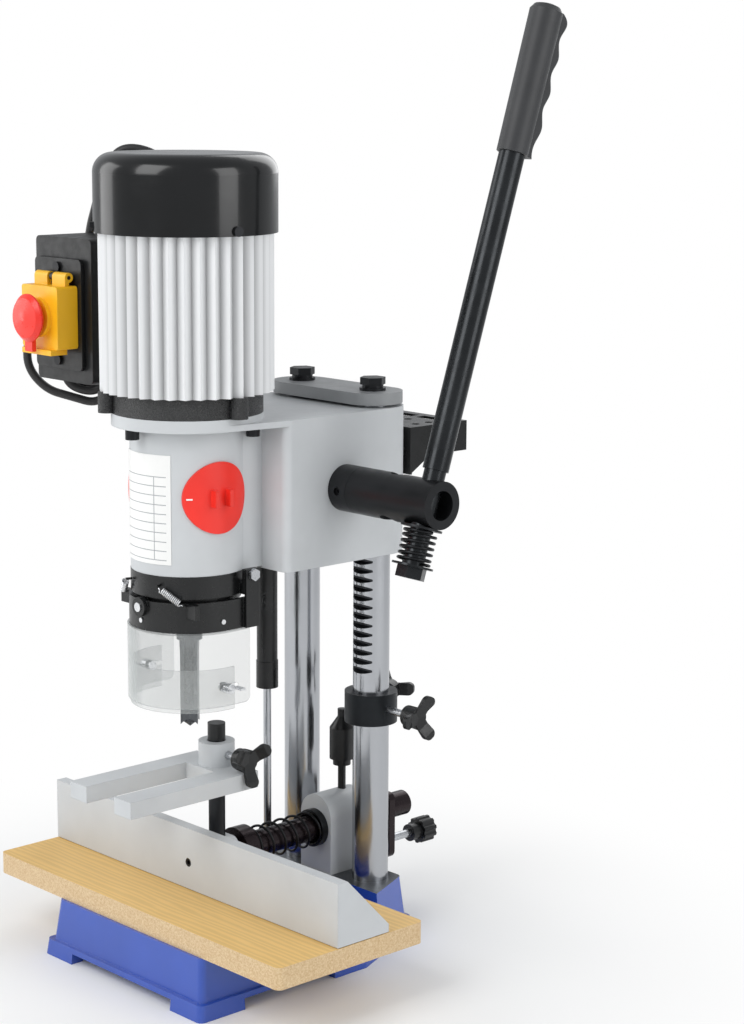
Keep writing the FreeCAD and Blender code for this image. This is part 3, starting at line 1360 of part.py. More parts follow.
def motor_housing():
    """Finned aluminium housing: triangular ribs all round, and a lid with the upper bearing's seat."""
    corners = []
    for i in range(2 * FIN_COUNT):
        radius = FIN_RIDGE_R if i % 2 == 0 else FIN_VALLEY_R
        corners.append(around(0, 0, radius, i * FULL_TURN / (2 * FIN_COUNT), RING_TOP_Z))
    body = prism(corners, Z_WAY * (HOUSING_TOP_Z - RING_TOP_Z))
    spigot_top = HOUSING_TOP_Z + HOUSING_SPIGOT
    spigot_r = COVER_R - COVER_WALL
    spigot = upright(spigot_r, 0, 0, HOUSING_TOP_Z, spigot_top)
    whole = fused([body, spigot])
    lid = HOUSING_TOP_Z - HOUSING_LID
    seat_top = HOUSING_TOP_Z
    boss = upright(RING_HUB_R, 0, 0, seat_top - BEARING_WIDTH - HOUSING_LID, spigot_top)
    bore = upright(HOUSING_BORE_R, 0, 0, RING_TOP_Z - OVERRUN, lid).cut(boss)
    hollow_top = tube(
        spigot_r - RING_WALL, RING_HUB_R, point(0, 0, HOUSING_TOP_Z), point(0, 0, spigot_top + OVERRUN)
    )
    cuts = [
        bore,
        hollow_top,
        upright(BEARING_R, 0, 0, seat_top - BEARING_WIDTH - HOUSING_LID - OVERRUN, seat_top),
        upright(MOTOR_SHAFT_R + SHAFT_CLEARANCE, 0, 0, RING_TOP_Z, spigot_top + OVERRUN),
    ]
    for i in range(COVER_SCREWS):
        angle = math.radians(COVER_SCREW_ANGLE + i * FULL_TURN / COVER_SCREWS)
        way = point(math.cos(angle), math.sin(angle), 0)
        spot = point(0, 0, cover_screw_z()) + way * COVER_R
        cuts.append(rod(COVER_SCREW_R, spot - way * COVER_SCREW_DEPTH, spot + way))
    return drilled(whole, cuts)


def motor_bearings():
    lower = point(0, 0, RING_TOP_Z - BEARING_WIDTH)
    upper = point(0, 0, HOUSING_TOP_Z - BEARING_WIDTH)
    inner = MOTOR_SHAFT_R + RUNNING_FIT
    return [tube(BEARING_R, inner, spot, spot + Z_WAY * BEARING_WIDTH) for spot in (lower, upper)]


def stator():
    start = point(0, 0, STATOR_BOTTOM_Z)
    return tube(HOUSING_BORE_R, STATOR_BORE_R, start, start + Z_WAY * STATOR_LENGTH)


def rotor():
    start = point(0, 0, STATOR_BOTTOM_Z)
    return tube(ROTOR_R, MOTOR_SHAFT_R, start, start + Z_WAY * STATOR_LENGTH)


def motor_shaft():
    return upright(MOTOR_SHAFT_R, 0, 0, CHUCK_TOP_Z - CHUCK_SEAT_DEPTH, MOTOR_SHAFT_TOP_Z)


def cooling_fan():
    hub = upright(FAN_HUB_R, 0, 0, FAN_BOTTOM_Z, FAN_BOTTOM_Z + FAN_HEIGHT)
    blades = []
    for i in range(FAN_BLADES):
        blade = block(
            (MOTOR_SHAFT_R + FAN_BLADE, FAN_R),
            (-FAN_BLADE / 2, FAN_BLADE / 2),
            (FAN_BOTTOM_Z, FAN_BOTTOM_Z + FAN_HEIGHT),
        )
        blade.rotate(point(0, 0, 0), Z_WAY, i * FULL_TURN / FAN_BLADES)
        blades.append(blade)
    return fused([hub] + blades).cut(upright(MOTOR_SHAFT_R, 0, 0, FAN_BOTTOM_Z, FAN_BOTTOM_Z + FAN_HEIGHT))


def fan_cover():
    """Deep drawn black cover with a rounded top edge, open below."""
    outer = upright(COVER_R, 0, 0, HOUSING_TOP_Z, COVER_TOP_Z)
    rim = [e for e in outer.Edges if isinstance(e.Curve, Part.Circle) and e.CenterOfMass.z > FAN_BOTTOM_Z]
    outer = outer.makeFillet(COVER_EDGE_R, rim)
    inner = upright(COVER_R - COVER_WALL, 0, 0, HOUSING_TOP_Z - OVERRUN, COVER_TOP_Z - COVER_WALL)
    rim = [e for e in inner.Edges if isinstance(e.Curve, Part.Circle) and e.CenterOfMass.z > FAN_BOTTOM_Z]
    inner = inner.makeFillet(COVER_EDGE_R - COVER_WALL, rim)
    cuts = [inner]
    for i in range(COVER_SCREWS):
        angle = math.radians(COVER_SCREW_ANGLE + i * FULL_TURN / COVER_SCREWS)
        way = point(math.cos(angle), math.sin(angle), 0)
        middle = point(0, 0, cover_screw_z())
        cuts.append(rod(COVER_SCREW_R, middle, middle + way * (COVER_R + OVERRUN)))
    return drilled(outer, cuts)


def chuck_body():
    """Drill chuck on the motor shaft, with its nose and the bore for the auger's shank."""
    outline = [
        (0, CHUCK_NOSE_Z),
        (CHUCK_NOSE_R, CHUCK_NOSE_Z),
        (CHUCK_BODY_R, CHUCK_SLEEVE_BOTTOM_Z - SLIDING_GAP),
        (CHUCK_BODY_R, CHUCK_TOP_Z),
        (0, CHUCK_TOP_Z),
    ]
    body = turned(outline, point(0, 0, 0), Z_WAY)
    cuts = [
        upright(MOTOR_SHAFT_R, 0, 0, CHUCK_TOP_Z - CHUCK_SEAT_DEPTH, CHUCK_TOP_Z + OVERRUN),
        upright(AUGER_R, 0, 0, CHUCK_NOSE_Z - OVERRUN, CHUCK_NOSE_Z + AUGER_GRIP_DEPTH),
    ]
    return drilled(body, cuts)


def chuck_sleeve():
    start = point(0, 0, CHUCK_SLEEVE_BOTTOM_Z)
    end = point(0, 0, CHUCK_SLEEVE_TOP_Z)
    return tube(CHUCK_SLEEVE_R, CHUCK_BODY_R + RUNNING_FIT, start, end)


def auger_bit():
    """Auger that turns inside the hollow chisel, its point just below the chisel's tip."""
    outline = [
        (0, AUGER_TIP_Z),
        (AUGER_R, AUGER_TIP_Z + AUGER_POINT),
        (AUGER_R, CHUCK_NOSE_Z + AUGER_GRIP_DEPTH),
        (0, CHUCK_NOSE_Z + AUGER_GRIP_DEPTH),
    ]
    return turned(outline, point(0, 0, 0), Z_WAY)


def chisel_bushing():
    """Split bushing that fits the chisel's shank to the head's bore."""
    start = point(0, 0, CHISEL_BOSS_BOTTOM_Z)
    end = point(0, 0, BARREL_BOTTOM_Z + BARREL_WEB)
    return tube(BUSHING_R, CHISEL_SHANK_R, start, end)


def chisel():
    """Hollow square mortise chisel: round shank, flare, slotted square body with a ground tip."""
    half = CHISEL_SIDE / 2
    shank = upright(CHISEL_SHANK_R, 0, 0, CHISEL_SHANK_BOTTOM_Z, CHISEL_SHANK_TOP_Z)
    square = block((-half, half), (-half, half), (CHISEL_TIP_Z, CHISEL_FLARE_BOTTOM_Z))
    reach = CHISEL_SHANK_R * math.cos(math.pi / 4)
    low = Part.makePolygon([point(x * half, y * half, CHISEL_FLARE_BOTTOM_Z) for x, y in square_turns()])
    high = Part.makePolygon([point(x * reach, y * reach, CHISEL_SHANK_BOTTOM_Z) for x, y in square_turns()])
    flare = Part.makeLoft([low, high], True, True)
    body = fused([shank, square, flare])
    grind = turned(
        [
            (0, CHISEL_TIP_Z - OVERRUN),
            (CHISEL_SIDE * math.sqrt(0.5), CHISEL_TIP_Z - OVERRUN),
            (CHISEL_SIDE * math.sqrt(0.5), CHISEL_TIP_Z),
            (CHISEL_BORE_R, CHISEL_TIP_Z + CHISEL_TIP_BEVEL),
            (0, CHISEL_TIP_Z + CHISEL_TIP_BEVEL),
        ],
        point(0, 0, 0),
        Z_WAY,
    )
    slot = block(
        (0, CHISEL_SIDE),
        (-CHISEL_SLOT_WIDTH / 2, CHISEL_SLOT_WIDTH / 2),
        (CHISEL_SLOT_BOTTOM_Z, CHISEL_SLOT_TOP_Z),
    )
    bore = upright(CHISEL_BORE_R, 0, 0, CHISEL_TIP_Z - OVERRUN, CHISEL_SHANK_TOP_Z + OVERRUN)
    body = drilled(body, [grind, slot, bore])
    body.rotate(point(0, 0, 0), Z_WAY, -math.degrees(math.pi / 4))
    return body


def square_turns():
    return ((1, 1), (-1, 1), (-1, -1), (1, -1), (1, 1))


def door(side):
    """Red door that plugs a window of the barrel, following its curve, with a finger tab."""
    way = door_way(side)
    middle = point(0, 0, DOOR_Z)
    inner_r = BARREL_R + SLIDING_GAP / 2
    skin = tube(BARREL_R + DOOR_PROUD, inner_r, point(0, 0, 0), point(0, 0, HEAD_TOP_Z))
    cap = skin.common(rod(DOOR_R, middle + way * BARREL_BORE_R / 2, middle + way * 2 * BARREL_R))
    wall = tube(inner_r, BARREL_BORE_R, point(0, 0, 0), point(0, 0, HEAD_TOP_Z))
    plug_r = DOOR_PLUG_R - SLIDING_GAP
    plug = wall.common(rod(plug_r, middle + way * BARREL_BORE_R / 2, middle + way * 2 * BARREL_R))
    across = way.cross(Z_WAY)
    root = middle + way * (BARREL_R + DOOR_PROUD / 2)
    arms = []
    for end in SIDES:
        near = across * (end * DOOR_TAB_LENGTH / 2)
        far = across * (end * (DOOR_TAB_LENGTH / 2 - DOOR_TAB_WALL))
        low = Z_WAY * (-DOOR_TAB_WIDTH / 2)
        corners = [root + near + low, root + far + low]
        corners += [corner + way * DOOR_TAB_HEIGHT for corner in corners[::-1]]
        arms.append(prism(corners, Z_WAY * DOOR_TAB_WIDTH))
    return fused([cap, plug] + arms)


def rating_plate():
    """Thin plate on the barrel's front."""
    half = math.degrees(RATING_WIDTH / 2 / BARREL_R)
    inner_r = BARREL_R + RATING_FILM
    outer_r = inner_r + RATING_THICKNESS
    sector = Part.makeCylinder(
        outer_r, RATING_HEIGHT, point(0, 0, RATING_BOTTOM_Z), Z_WAY, 2 * half
    )
    sector.rotate(point(0, 0, 0), Z_WAY, -FULL_TURN / 4 - half)
    core = upright(inner_r, 0, 0, RATING_BOTTOM_Z - OVERRUN, RATING_BOTTOM_Z + RATING_HEIGHT + OVERRUN)
    return sector.cut(core)


def guard_collar():
    """Black collar under the barrel, with an ear each side for the guard's pivot pin."""
    start = point(0, 0, GUARD_FLANGE_BOTTOM_Z)
    flange = rod(GUARD_FLANGE_R, start, point(0, 0, BARREL_BOTTOM_Z))
    skirt = rod(GUARD_SKIRT_R, start - Z_WAY * GUARD_SKIRT_DROP, start)
    step = block(
        (-GUARD_FLANGE_R, GUARD_FLANGE_R),
        (HEAD_FRONT_Y - SLIDING_GAP, GUARD_FLANGE_R + OVERRUN),
        (HEAD_BOTTOM_Z - SLIDING_GAP, BARREL_BOTTOM_Z + OVERRUN),
    )
    flange = flange.cut(step)
    ears = []
    root_x = GUARD_FLANGE_R * GUARD_EAR_ROOT_SHARE
    for side in SIDES:
        ys = (GUARD_PIVOT_Y - GUARD_EAR_HALF, GUARD_PIVOT_Y + GUARD_EAR_HALF)
        outer = side * (GUARD_EAR_X + GUARD_EAR_THICKNESS)
        ears.append(block((side * root_x, outer), ys, (GUARD_FLANGE_BOTTOM_Z, GUARD_EAR_ROOT_TOP_Z)))
        top = GUARD_PIVOT_Z + GUARD_PIN_R * 2
        ears.append(block((side * GUARD_EAR_X, outer), ys, (GUARD_FLANGE_BOTTOM_Z, top)))
    hooks = [guard_hook_post(side) for side in SIDES]
    whole = fused([flange, skirt] + ears + hooks)
    whole = whole.cut(
        upright(CHISEL_BOSS_R, 0, 0, GUARD_FLANGE_BOTTOM_Z - 2 * GUARD_SKIRT_DROP, BARREL_BOTTOM_Z)
    )
    holes = []
    for side in SIDES:
        holes.append(guard_pin(side, GUARD_EAR_X - OVERRUN, GUARD_EAR_X + GUARD_EAR_THICKNESS + OVERRUN))
    return drilled(whole, holes)


def guard_pin(side, near_x, far_x):
    start = point(side * near_x, GUARD_PIVOT_Y, GUARD_PIVOT_Z)
    return rod(GUARD_PIN_R, start, point(side * far_x, GUARD_PIVOT_Y, GUARD_PIVOT_Z))


def guard_hook_post(side):
    """Small post on the collar's rim that holds the upper end of a guard spring."""
    start = hook_top(side)
    return rod(GUARD_WIRE_R * 2, point(start.x * POST_SHARE, start.y * POST_SHARE, start.z), start)


def hook_top(side):
    angle = math.asin(GUARD_HOOK_X / GUARD_FLANGE_R)
    reach = GUARD_FLANGE_R + GUARD_HOOK_REACH
    return point(side * reach * math.sin(angle), -reach * math.cos(angle), GUARD_HOOK_Z)


def hook_bottom(side):
    angle = math.asin(GUARD_HOOK_END_X / (BAND_R + GUARD_HOOK_REACH))
    reach = BAND_R + GUARD_HOOK_REACH
    return point(side * reach * math.sin(angle), -reach * math.cos(angle), GUARD_HOOK_END_Z)


def u_shell(outer_r, wall, rear_y, bottom, top):
    """Half round wall in front with straight sides that run back to rear_y."""
    solids = []
    for radius in (outer_r, outer_r - wall):
        grow = 0 if radius == outer_r else OVERRUN
        low = bottom - grow
        high = top + grow
        front = upright(radius, 0, 0, low, high)
        sides = block((-radius, radius), (0, rear_y + grow), (low, high))
        solids.append(fused([front, sides]).cut(rear_cut(radius, rear_y + grow, low, high)))
    return solids[0].cut(solids[1])


def rear_cut(radius, rear_y, low, high):
    return block((-2 * radius, 2 * radius), (rear_y, rear_y + 2 * radius), (low, high))


def guard_band():
    """Black band round the front of the chisel, with ears on the pivot, a front boss and thumb lugs."""
    band = u_shell(BAND_R, BAND_WALL, BAND_REAR_Y, BAND_BOTTOM_Z, BAND_TOP_Z)
    pieces = [band]
    ear_inner = GUARD_EAR_X + GUARD_EAR_THICKNESS + SLIDING_GAP
    ear_outer = ear_inner + GUARD_EAR_THICKNESS
    ys = (GUARD_PIVOT_Y - GUARD_EAR_HALF, GUARD_PIVOT_Y + GUARD_EAR_HALF)
    for side in SIDES:
        inner_x = side * (BAND_R - BAND_WALL)
        low = BAND_BOTTOM_Z
        pieces.append(block((inner_x, side * ear_outer), ys, (low, BAND_TOP_Z)))
        top = GUARD_PIVOT_Z + GUARD_PIN_R * 2
        pieces.append(block((side * ear_inner, side * ear_outer), ys, (low, top)))
        lug_x = math.sqrt(BAND_R ** 2 - BAND_LUG_Y ** 2) - BAND_WALL
        pieces.append(
            block(
                (side * lug_x, side * (lug_x + BAND_WALL + BAND_LUG_REACH)),
                (BAND_LUG_Y - BAND_LUG_THICKNESS / 2, BAND_LUG_Y + BAND_LUG_THICKNESS / 2),
                (BAND_LUG_BOTTOM_Z, BAND_TOP_Z),
            )
        )
        end = hook_bottom(side)
        pieces.append(rod(GUARD_WIRE_R * 2, point(end.x * POST_SHARE, end.y * POST_SHARE, end.z), end))
    front = point(0, -BAND_R + BAND_WALL, BAND_BOSS_Z)
    pieces.append(rod(BAND_BOSS_R, front, front - Y_WAY * BAND_BOSS_REACH))
    whole = fused(pieces)
    cuts = [upright(BAND_R - BAND_WALL, 0, 0, BAND_BOTTOM_Z - OVERRUN, BAND_TOP_Z + OVERRUN)]
    for side in SIDES:
        cuts.append(guard_pin(side, ear_inner - OVERRUN, ear_outer + OVERRUN))
    for spot, way in rivet_places():
        cuts.append(rod(RIVET_R, spot - way * 2 * BAND_WALL, spot + way * BAND_WALL))
    cuts.append(rod(BAND_SCREW_R / 2, front, front - Y_WAY * (BAND_BOSS_REACH + OVERRUN)))
    return drilled(whole, cuts)


def rivet_places():
    """Where the shield is riveted round the band's lower edge."""
    places = []
    for azimuth in RIVET_AZIMUTHS:
        angle = math.radians(azimuth)
        way = point(math.sin(angle), -math.cos(angle), 0)
        places.append((way * BAND_R + Z_WAY * RIVET_Z, way))
    return places


def shield_neck_r():
    return BAND_R - BAND_WALL - SLIDING_GAP


def guard_shield():
    """Clear shield that steps in behind the band, with a slot each side for the visor's bolt."""
    top = BAND_BOTTOM_Z - SLIDING_GAP
    shell = u_shell(SHIELD_R, SHIELD_WALL, SHIELD_REAR_Y, SHIELD_BOTTOM_Z, top)
    shell = rounded(shell, SHIELD_CORNER_R, X_WAY, lambda p: p.z < SHIELD_BOTTOM_Z + SHIELD_WALL)
    step = u_shell(SHIELD_R, SHIELD_R - shield_neck_r() + SHIELD_WALL, SHIELD_REAR_Y, top - SHIELD_WALL, top)
    neck_top = BAND_BOTTOM_Z + SHIELD_OVERLAP
    neck = u_shell(shield_neck_r(), SHIELD_WALL, SHIELD_REAR_Y, top - SHIELD_WALL, neck_top)
    shell = fused([shell, step, neck])
    cuts = []
    slot_r = WING_NUT_BOLT_R + SLIDING_GAP
    for side in SIDES:
        xs = (side * (SHIELD_R - 4 * SHIELD_WALL), side * (SHIELD_R + OVERRUN))
        ends = []
        for y in (WING_NUT_Y, WING_NUT_Y + SHIELD_SLOT):
            ends.append(rod(slot_r, point(xs[0], y, WING_NUT_Z), point(xs[1], y, WING_NUT_Z)))
        middle = block(
            xs, (WING_NUT_Y, WING_NUT_Y + SHIELD_SLOT), (WING_NUT_Z - slot_r, WING_NUT_Z + slot_r)
        )
        cuts.extend(ends + [middle])
    for spot, way in rivet_places():
        cuts.append(rod(RIVET_R, spot - way * 3 * BAND_WALL, spot + way * BAND_WALL))
    return drilled(shell, cuts)


def guard_rivets():
    """Rivets of the shield, and the screw in the band's front boss."""
    pieces = []
    band = u_shell(BAND_R, BAND_WALL, SHIELD_REAR_Y, BAND_BOTTOM_Z, BAND_TOP_Z)
    for spot, way in rivet_places():
        shank = rod(RIVET_R, spot - way * (BAND_WALL + SHIELD_WALL + SLIDING_GAP), spot)
        head = rod(RIVET_HEAD_R, spot, spot + way * RIVET_HEAD)
        pieces.append(shank.fuse(head.cut(band)))
    front = point(0, -BAND_R + BAND_WALL, BAND_BOSS_Z)
    face = front - Y_WAY * BAND_BOSS_REACH
    shank = rod(BAND_SCREW_R / 2, front, face)
    pieces.append(shank.fuse(rod(BAND_SCREW_R, face, face - Y_WAY * RIVET_HEAD)))
    return pieces


def guard_pins():
    """Pivot bolts of the guard with their nuts outside the ears."""
    pieces = []
    start_x = GUARD_EAR_X
    nut_x = GUARD_EAR_X + 2 * GUARD_EAR_THICKNESS + 2 * SLIDING_GAP
    for side in SIDES:
        pin = rod(
            GUARD_PIN_R - RUNNING_FIT,
            point(side * start_x, GUARD_PIVOT_Y, GUARD_PIVOT_Z),
            point(side * nut_x, GUARD_PIVOT_Y, GUARD_PIVOT_Z),
        )
        nut = hexagon(
            GUARD_NUT_ACROSS,
            point(side * nut_x, GUARD_PIVOT_Y, GUARD_PIVOT_Z),
            point(side * (nut_x + GUARD_NUT_THICKNESS), GUARD_PIVOT_Y, GUARD_PIVOT_Z),
        )
        pieces.append(pin.fuse(nut))
    return pieces


def visor_r():
    return BAND_R - SLIDING_GAP


def guard_visor():
    """Clear inner visor, with a bolt hole each side."""
    shell = u_shell(visor_r(), VISOR_WALL, VISOR_REAR_Y, VISOR_BOTTOM_Z, VISOR_TOP_Z)
    reach = SHIELD_R + OVERRUN
    hole = rod(WING_NUT_BOLT_R, point(-reach, WING_NUT_Y, WING_NUT_Z), point(reach, WING_NUT_Y, WING_NUT_Z))
    return shell.cut(hole)


def visor_bolts():
    """Bolts of the visor with wing nuts outside the shield."""
    pieces = []
    inner_x = visor_r() - VISOR_WALL
    face_x = SHIELD_R + SLIDING_GAP
    for side in SIDES:
        start = point(side * (inner_x - WING_NUT_BOLT_R), WING_NUT_Y, WING_NUT_Z)
        end = point(side * (face_x + 2 * WING_NUT_WIDTH), WING_NUT_Y, WING_NUT_Z)
        head = rod(2 * WING_NUT_BOLT_R, start, point(side * (inner_x - SLIDING_GAP), WING_NUT_Y, WING_NUT_Z))
        bolt = rod(WING_NUT_BOLT_R, start, end)
        nut_start = point(side * face_x, WING_NUT_Y, WING_NUT_Z)
        nut = rod(WING_NUT_R, nut_start, nut_start + X_WAY * (side * WING_NUT_WIDTH * 2))
        wings = block(
            (side * (face_x + WING_NUT_WIDTH), side * (face_x + 4 * WING_NUT_WIDTH)),
            (WING_NUT_Y - WING_NUT_SPAN, WING_NUT_Y + WING_NUT_SPAN),
            (WING_NUT_Z - WING_NUT_WIDTH / 4, WING_NUT_Z + WING_NUT_WIDTH / 4),
        )
        gap = block(
            (side * (face_x + WING_NUT_FOOT), side * (face_x + WING_NUT_FOOT + WING_NUT_GAP)),
            (WING_NUT_Y - WING_NUT_R, WING_NUT_Y + WING_NUT_R),
            (WING_NUT_Z - WING_NUT_WIDTH, WING_NUT_Z + WING_NUT_WIDTH),
        )
        pieces.append(fused([bolt, head, nut, wings.cut(gap)]))
    return pieces


def guard_springs():
    """Two small pull springs between the collar's posts and the band's posts."""
    springs = []
    for side in SIDES:
        top = hook_top(side)
        bottom = hook_bottom(side)
        way = bottom - top
        span = way.Length
        way.normalize()
        turn = FreeCAD.Rotation(Z_WAY, way)
        coil_length = GUARD_COIL_TURNS * GUARD_COIL_PITCH
        tail = (span - coil_length) / 2
        start = top + way * tail
        post_gap = 2 * GUARD_WIRE_R + GUARD_WIRE_R + SLIDING_GAP
        knots = [(top + way * post_gap, way)]
        for i in range(4 * GUARD_COIL_TURNS + 1):
            angle = math.pi / 2 * i
            spot = point(
                GUARD_COIL_R * math.cos(angle), GUARD_COIL_R * math.sin(angle), GUARD_COIL_PITCH * i / 4
            )
            lean = point(
                -math.sin(angle), math.cos(angle), GUARD_COIL_PITCH / (2 * math.pi * GUARD_COIL_R)
            )
            lean.normalize()
            knots.append((start + turn.multVec(spot), turn.multVec(lean)))
        knots.append((bottom - way * post_gap, way))
        spring, path = wound(knots, GUARD_WIRE_R)
        self_gap("guard_spring", path, GUARD_WIRE_R, math.pi * GUARD_COIL_R)
        springs.append(spring)
    return springs


def tool_holder():
    """Bent sheet shelf on the head's back for chisels, with slots and holes in its top."""
    rear = HOLDER_REAR_Y
    back_y = HEAD_REAR_Y
    half = HOLDER_HALF_WIDTH
    back = block((-half, half), (back_y, back_y + HOLDER_SHEET), (HOLDER_ROOT_Z, HOLDER_TOP_Z))
    top = block((-half, half), (back_y, rear), (HOLDER_TOP_Z - HOLDER_SHEET, HOLDER_TOP_Z))
    pieces = [back, top]
    low = HOLDER_TOP_Z - HOLDER_SIDE
    for side in SIDES:
        x = side * half
        corners = [
            point(x, back_y, HOLDER_TOP_Z),
            point(x, rear, HOLDER_TOP_Z),
            point(x, rear, low),
            point(x, HOLDER_SIDE_END_Y, low),
            point(x, back_y, HOLDER_ROOT_Z),
        ]
        pieces.append(prism(corners, X_WAY * (-side * HOLDER_SHEET)))
    whole = fused(pieces)
    cuts = []
    slot_step = (2 * half - 2 * HOLDER_SLOT_WIDTH) / 3
    for i in range(3):
        x = -half + HOLDER_SLOT_WIDTH + slot_step * (i + 1 / 2)
        ends = (x - HOLDER_SLOT_LENGTH / 2, x + HOLDER_SLOT_LENGTH / 2)
        ys = (HOLDER_SLOT_Y - HOLDER_SLOT_WIDTH / 2, HOLDER_SLOT_Y + HOLDER_SLOT_WIDTH / 2)
        cuts.append(block(ends, ys, (low, HOLDER_TOP_Z + OVERRUN)))
    for y in HOLDER_HOLE_ROWS:
        for i in range(HOLDER_HOLES):
            x = -half + 2 * half * (i + 1 / 2) / HOLDER_HOLES
            cuts.append(upright(HOLDER_HOLE_R, x, y, low, HOLDER_TOP_Z + OVERRUN))
    for side in SIDES:
        x = side * HOLDER_SCREW_X
        cuts.append(
            rod(HOLDER_SCREW_R, point(x, back_y - OVERRUN, HOLDER_SCREW_Z), point(x, rear, HOLDER_SCREW_Z))
        )
    return drilled(whole, cuts)


def switch_box():
    """Black box on a saddle that follows the motor's fins, with a front window and a gland hole."""
    xs = (SWITCH_LEFT_X, SWITCH_RIGHT_X)
    zs = (SWITCH_BOTTOM_Z, SWITCH_TOP_Z)
    box = block(xs, (SWITCH_FRONT_Y, SWITCH_REAR_Y), zs)
    box = rounded(box, SWITCH_EDGE_R, Y_WAY)
    wall = SWITCH_WALL
    room = block(
        (xs[0] + wall, xs[1] - wall),
        (SWITCH_FRONT_Y + wall, SWITCH_REAR_Y - wall),
        (zs[0] + wall, zs[1] - wall),
    )
    saddle = block(
        (SWITCH_RIGHT_X, -FIN_VALLEY_R + wall),
        (-SADDLE_HALF_WIDTH, SWITCH_REAR_Y),
        (SWITCH_BOTTOM_Z + SADDLE_MARGIN, SWITCH_TOP_Z - SADDLE_MARGIN),
    )
    window_xs, window_zs = module_span()
    gap = SLIDING_GAP
    window = block(
        (window_xs[0] - gap, window_xs[1] + gap),
        (SWITCH_FRONT_Y - OVERRUN, SWITCH_FRONT_Y + 2 * wall),
        (window_zs[0] - gap, window_zs[1] + gap),
    )
    holes = [rod(PLATE_SCREW_R, spot - Y_WAY, spot + Y_WAY * 2 * wall) for spot in plate_screws()]
    side = point(SWITCH_LEFT_X, GLAND_Y, GLAND_Z)
    gland_hole = rod(GLAND_R, side - X_WAY * OVERRUN, side + X_WAY * 2 * wall)
    fins = upright(FIN_RIDGE_R, 0, 0, RING_TOP_Z, HOUSING_TOP_Z)
    return drilled(fused([box, saddle]), [room, window, gland_hole, fins] + holes)


def module_span():
    """How wide and high the switch module is."""
    middle = (SWITCH_COVER_BOTTOM_Z + SWITCH_COVER_TOP_Z) / 2
    half = MODULE_HALF_HEIGHT - SWITCH_WALL
    return (STOP_X - MODULE_HALF_WIDTH, STOP_X + MODULE_HALF_WIDTH), (middle - half, middle + half)


def switch_plate():
    """Front plate of the switch box that carries the switch module."""
    xs = (PLATE_LEFT_X, PLATE_RIGHT_X)
    zs = (PLATE_BOTTOM_Z, PLATE_TOP_Z)
    plate = block(xs, (SWITCH_FRONT_Y - PLATE_THICKNESS, SWITCH_FRONT_Y), zs)
    plate = rounded(plate, SWITCH_EDGE_R, Y_WAY)
    cuts = [rod(PLATE_SCREW_R, spot - Y_WAY * 2 * PLATE_THICKNESS, spot + Y_WAY) for spot in plate_screws()]
    module_xs, module_zs = module_span()
    face_y = SWITCH_FRONT_Y - PLATE_THICKNESS
    module = block(module_xs, (face_y, SWITCH_FRONT_Y + MODULE_DEPTH), module_zs)
    button = rod(
        START_R + SLIDING_GAP,
        point(START_X, face_y - OVERRUN, START_Z),
        point(START_X, SWITCH_FRONT_Y + 2 * START_PROUD, START_Z),
    )
    x = sum(switch_hinge_places()) / 2
    spot = point(x - SWITCH_HINGE_R / 2, switch_hinge_y(), SWITCH_HINGE_Z)
    post = rod(SWITCH_HINGE_R - SWITCH_HINGE_PIN_R / 2, spot, spot + X_WAY * SWITCH_HINGE_R)
    foot = block(
        (x - SWITCH_HINGE_R / 2, x + SWITCH_HINGE_R / 2),
        (switch_hinge_y(), face_y),
        (SWITCH_HINGE_Z - SWITCH_HINGE_PIN_R, SWITCH_HINGE_Z + SWITCH_HINGE_PIN_R),
    )
    return drilled(fused([plate, module, post, foot, hinge_rod()]), cuts + [button])


def switch_hinge_y():
    return SWITCH_FRONT_Y - PLATE_THICKNESS - SWITCH_HINGE_DROP


def switch_hinge_places():
    """Middles of the two hinge eyes of the yellow cover."""
    quarter = (SWITCH_COVER_RIGHT_X - SWITCH_COVER_LEFT_X) / 4
    return (SWITCH_COVER_LEFT_X + quarter, SWITCH_COVER_RIGHT_X - quarter)


def hinge_rod():
    """Pin through both eyes, held by the plate's post between them."""
    left, right = switch_hinge_places()
    reach = SWITCH_HINGE_WIDTH / 2
    ends = [point(x, switch_hinge_y(), SWITCH_HINGE_Z) for x in (left - reach, right + reach)]
    return rod(SWITCH_HINGE_PIN_R, ends[0], ends[1])


def plate_screws():
    middle = (PLATE_LEFT_X + PLATE_RIGHT_X) / 2
    zs = (PLATE_BOTTOM_Z + PLATE_SCREW_MARGIN, PLATE_TOP_Z - PLATE_SCREW_MARGIN)
    return [point(middle, SWITCH_FRONT_Y, z) for z in zs]


def plate_screw_set():
    pieces = []
    for spot in plate_screws():
        face = spot - Y_WAY * PLATE_THICKNESS
        shank = rod(PLATE_SCREW_R, face, spot + Y_WAY * SWITCH_WALL)
        pieces.append(shank.fuse(rod(PLATE_SCREW_HEAD_R, face - Y_WAY * PLATE_SCREW_R, face)))
    return pieces


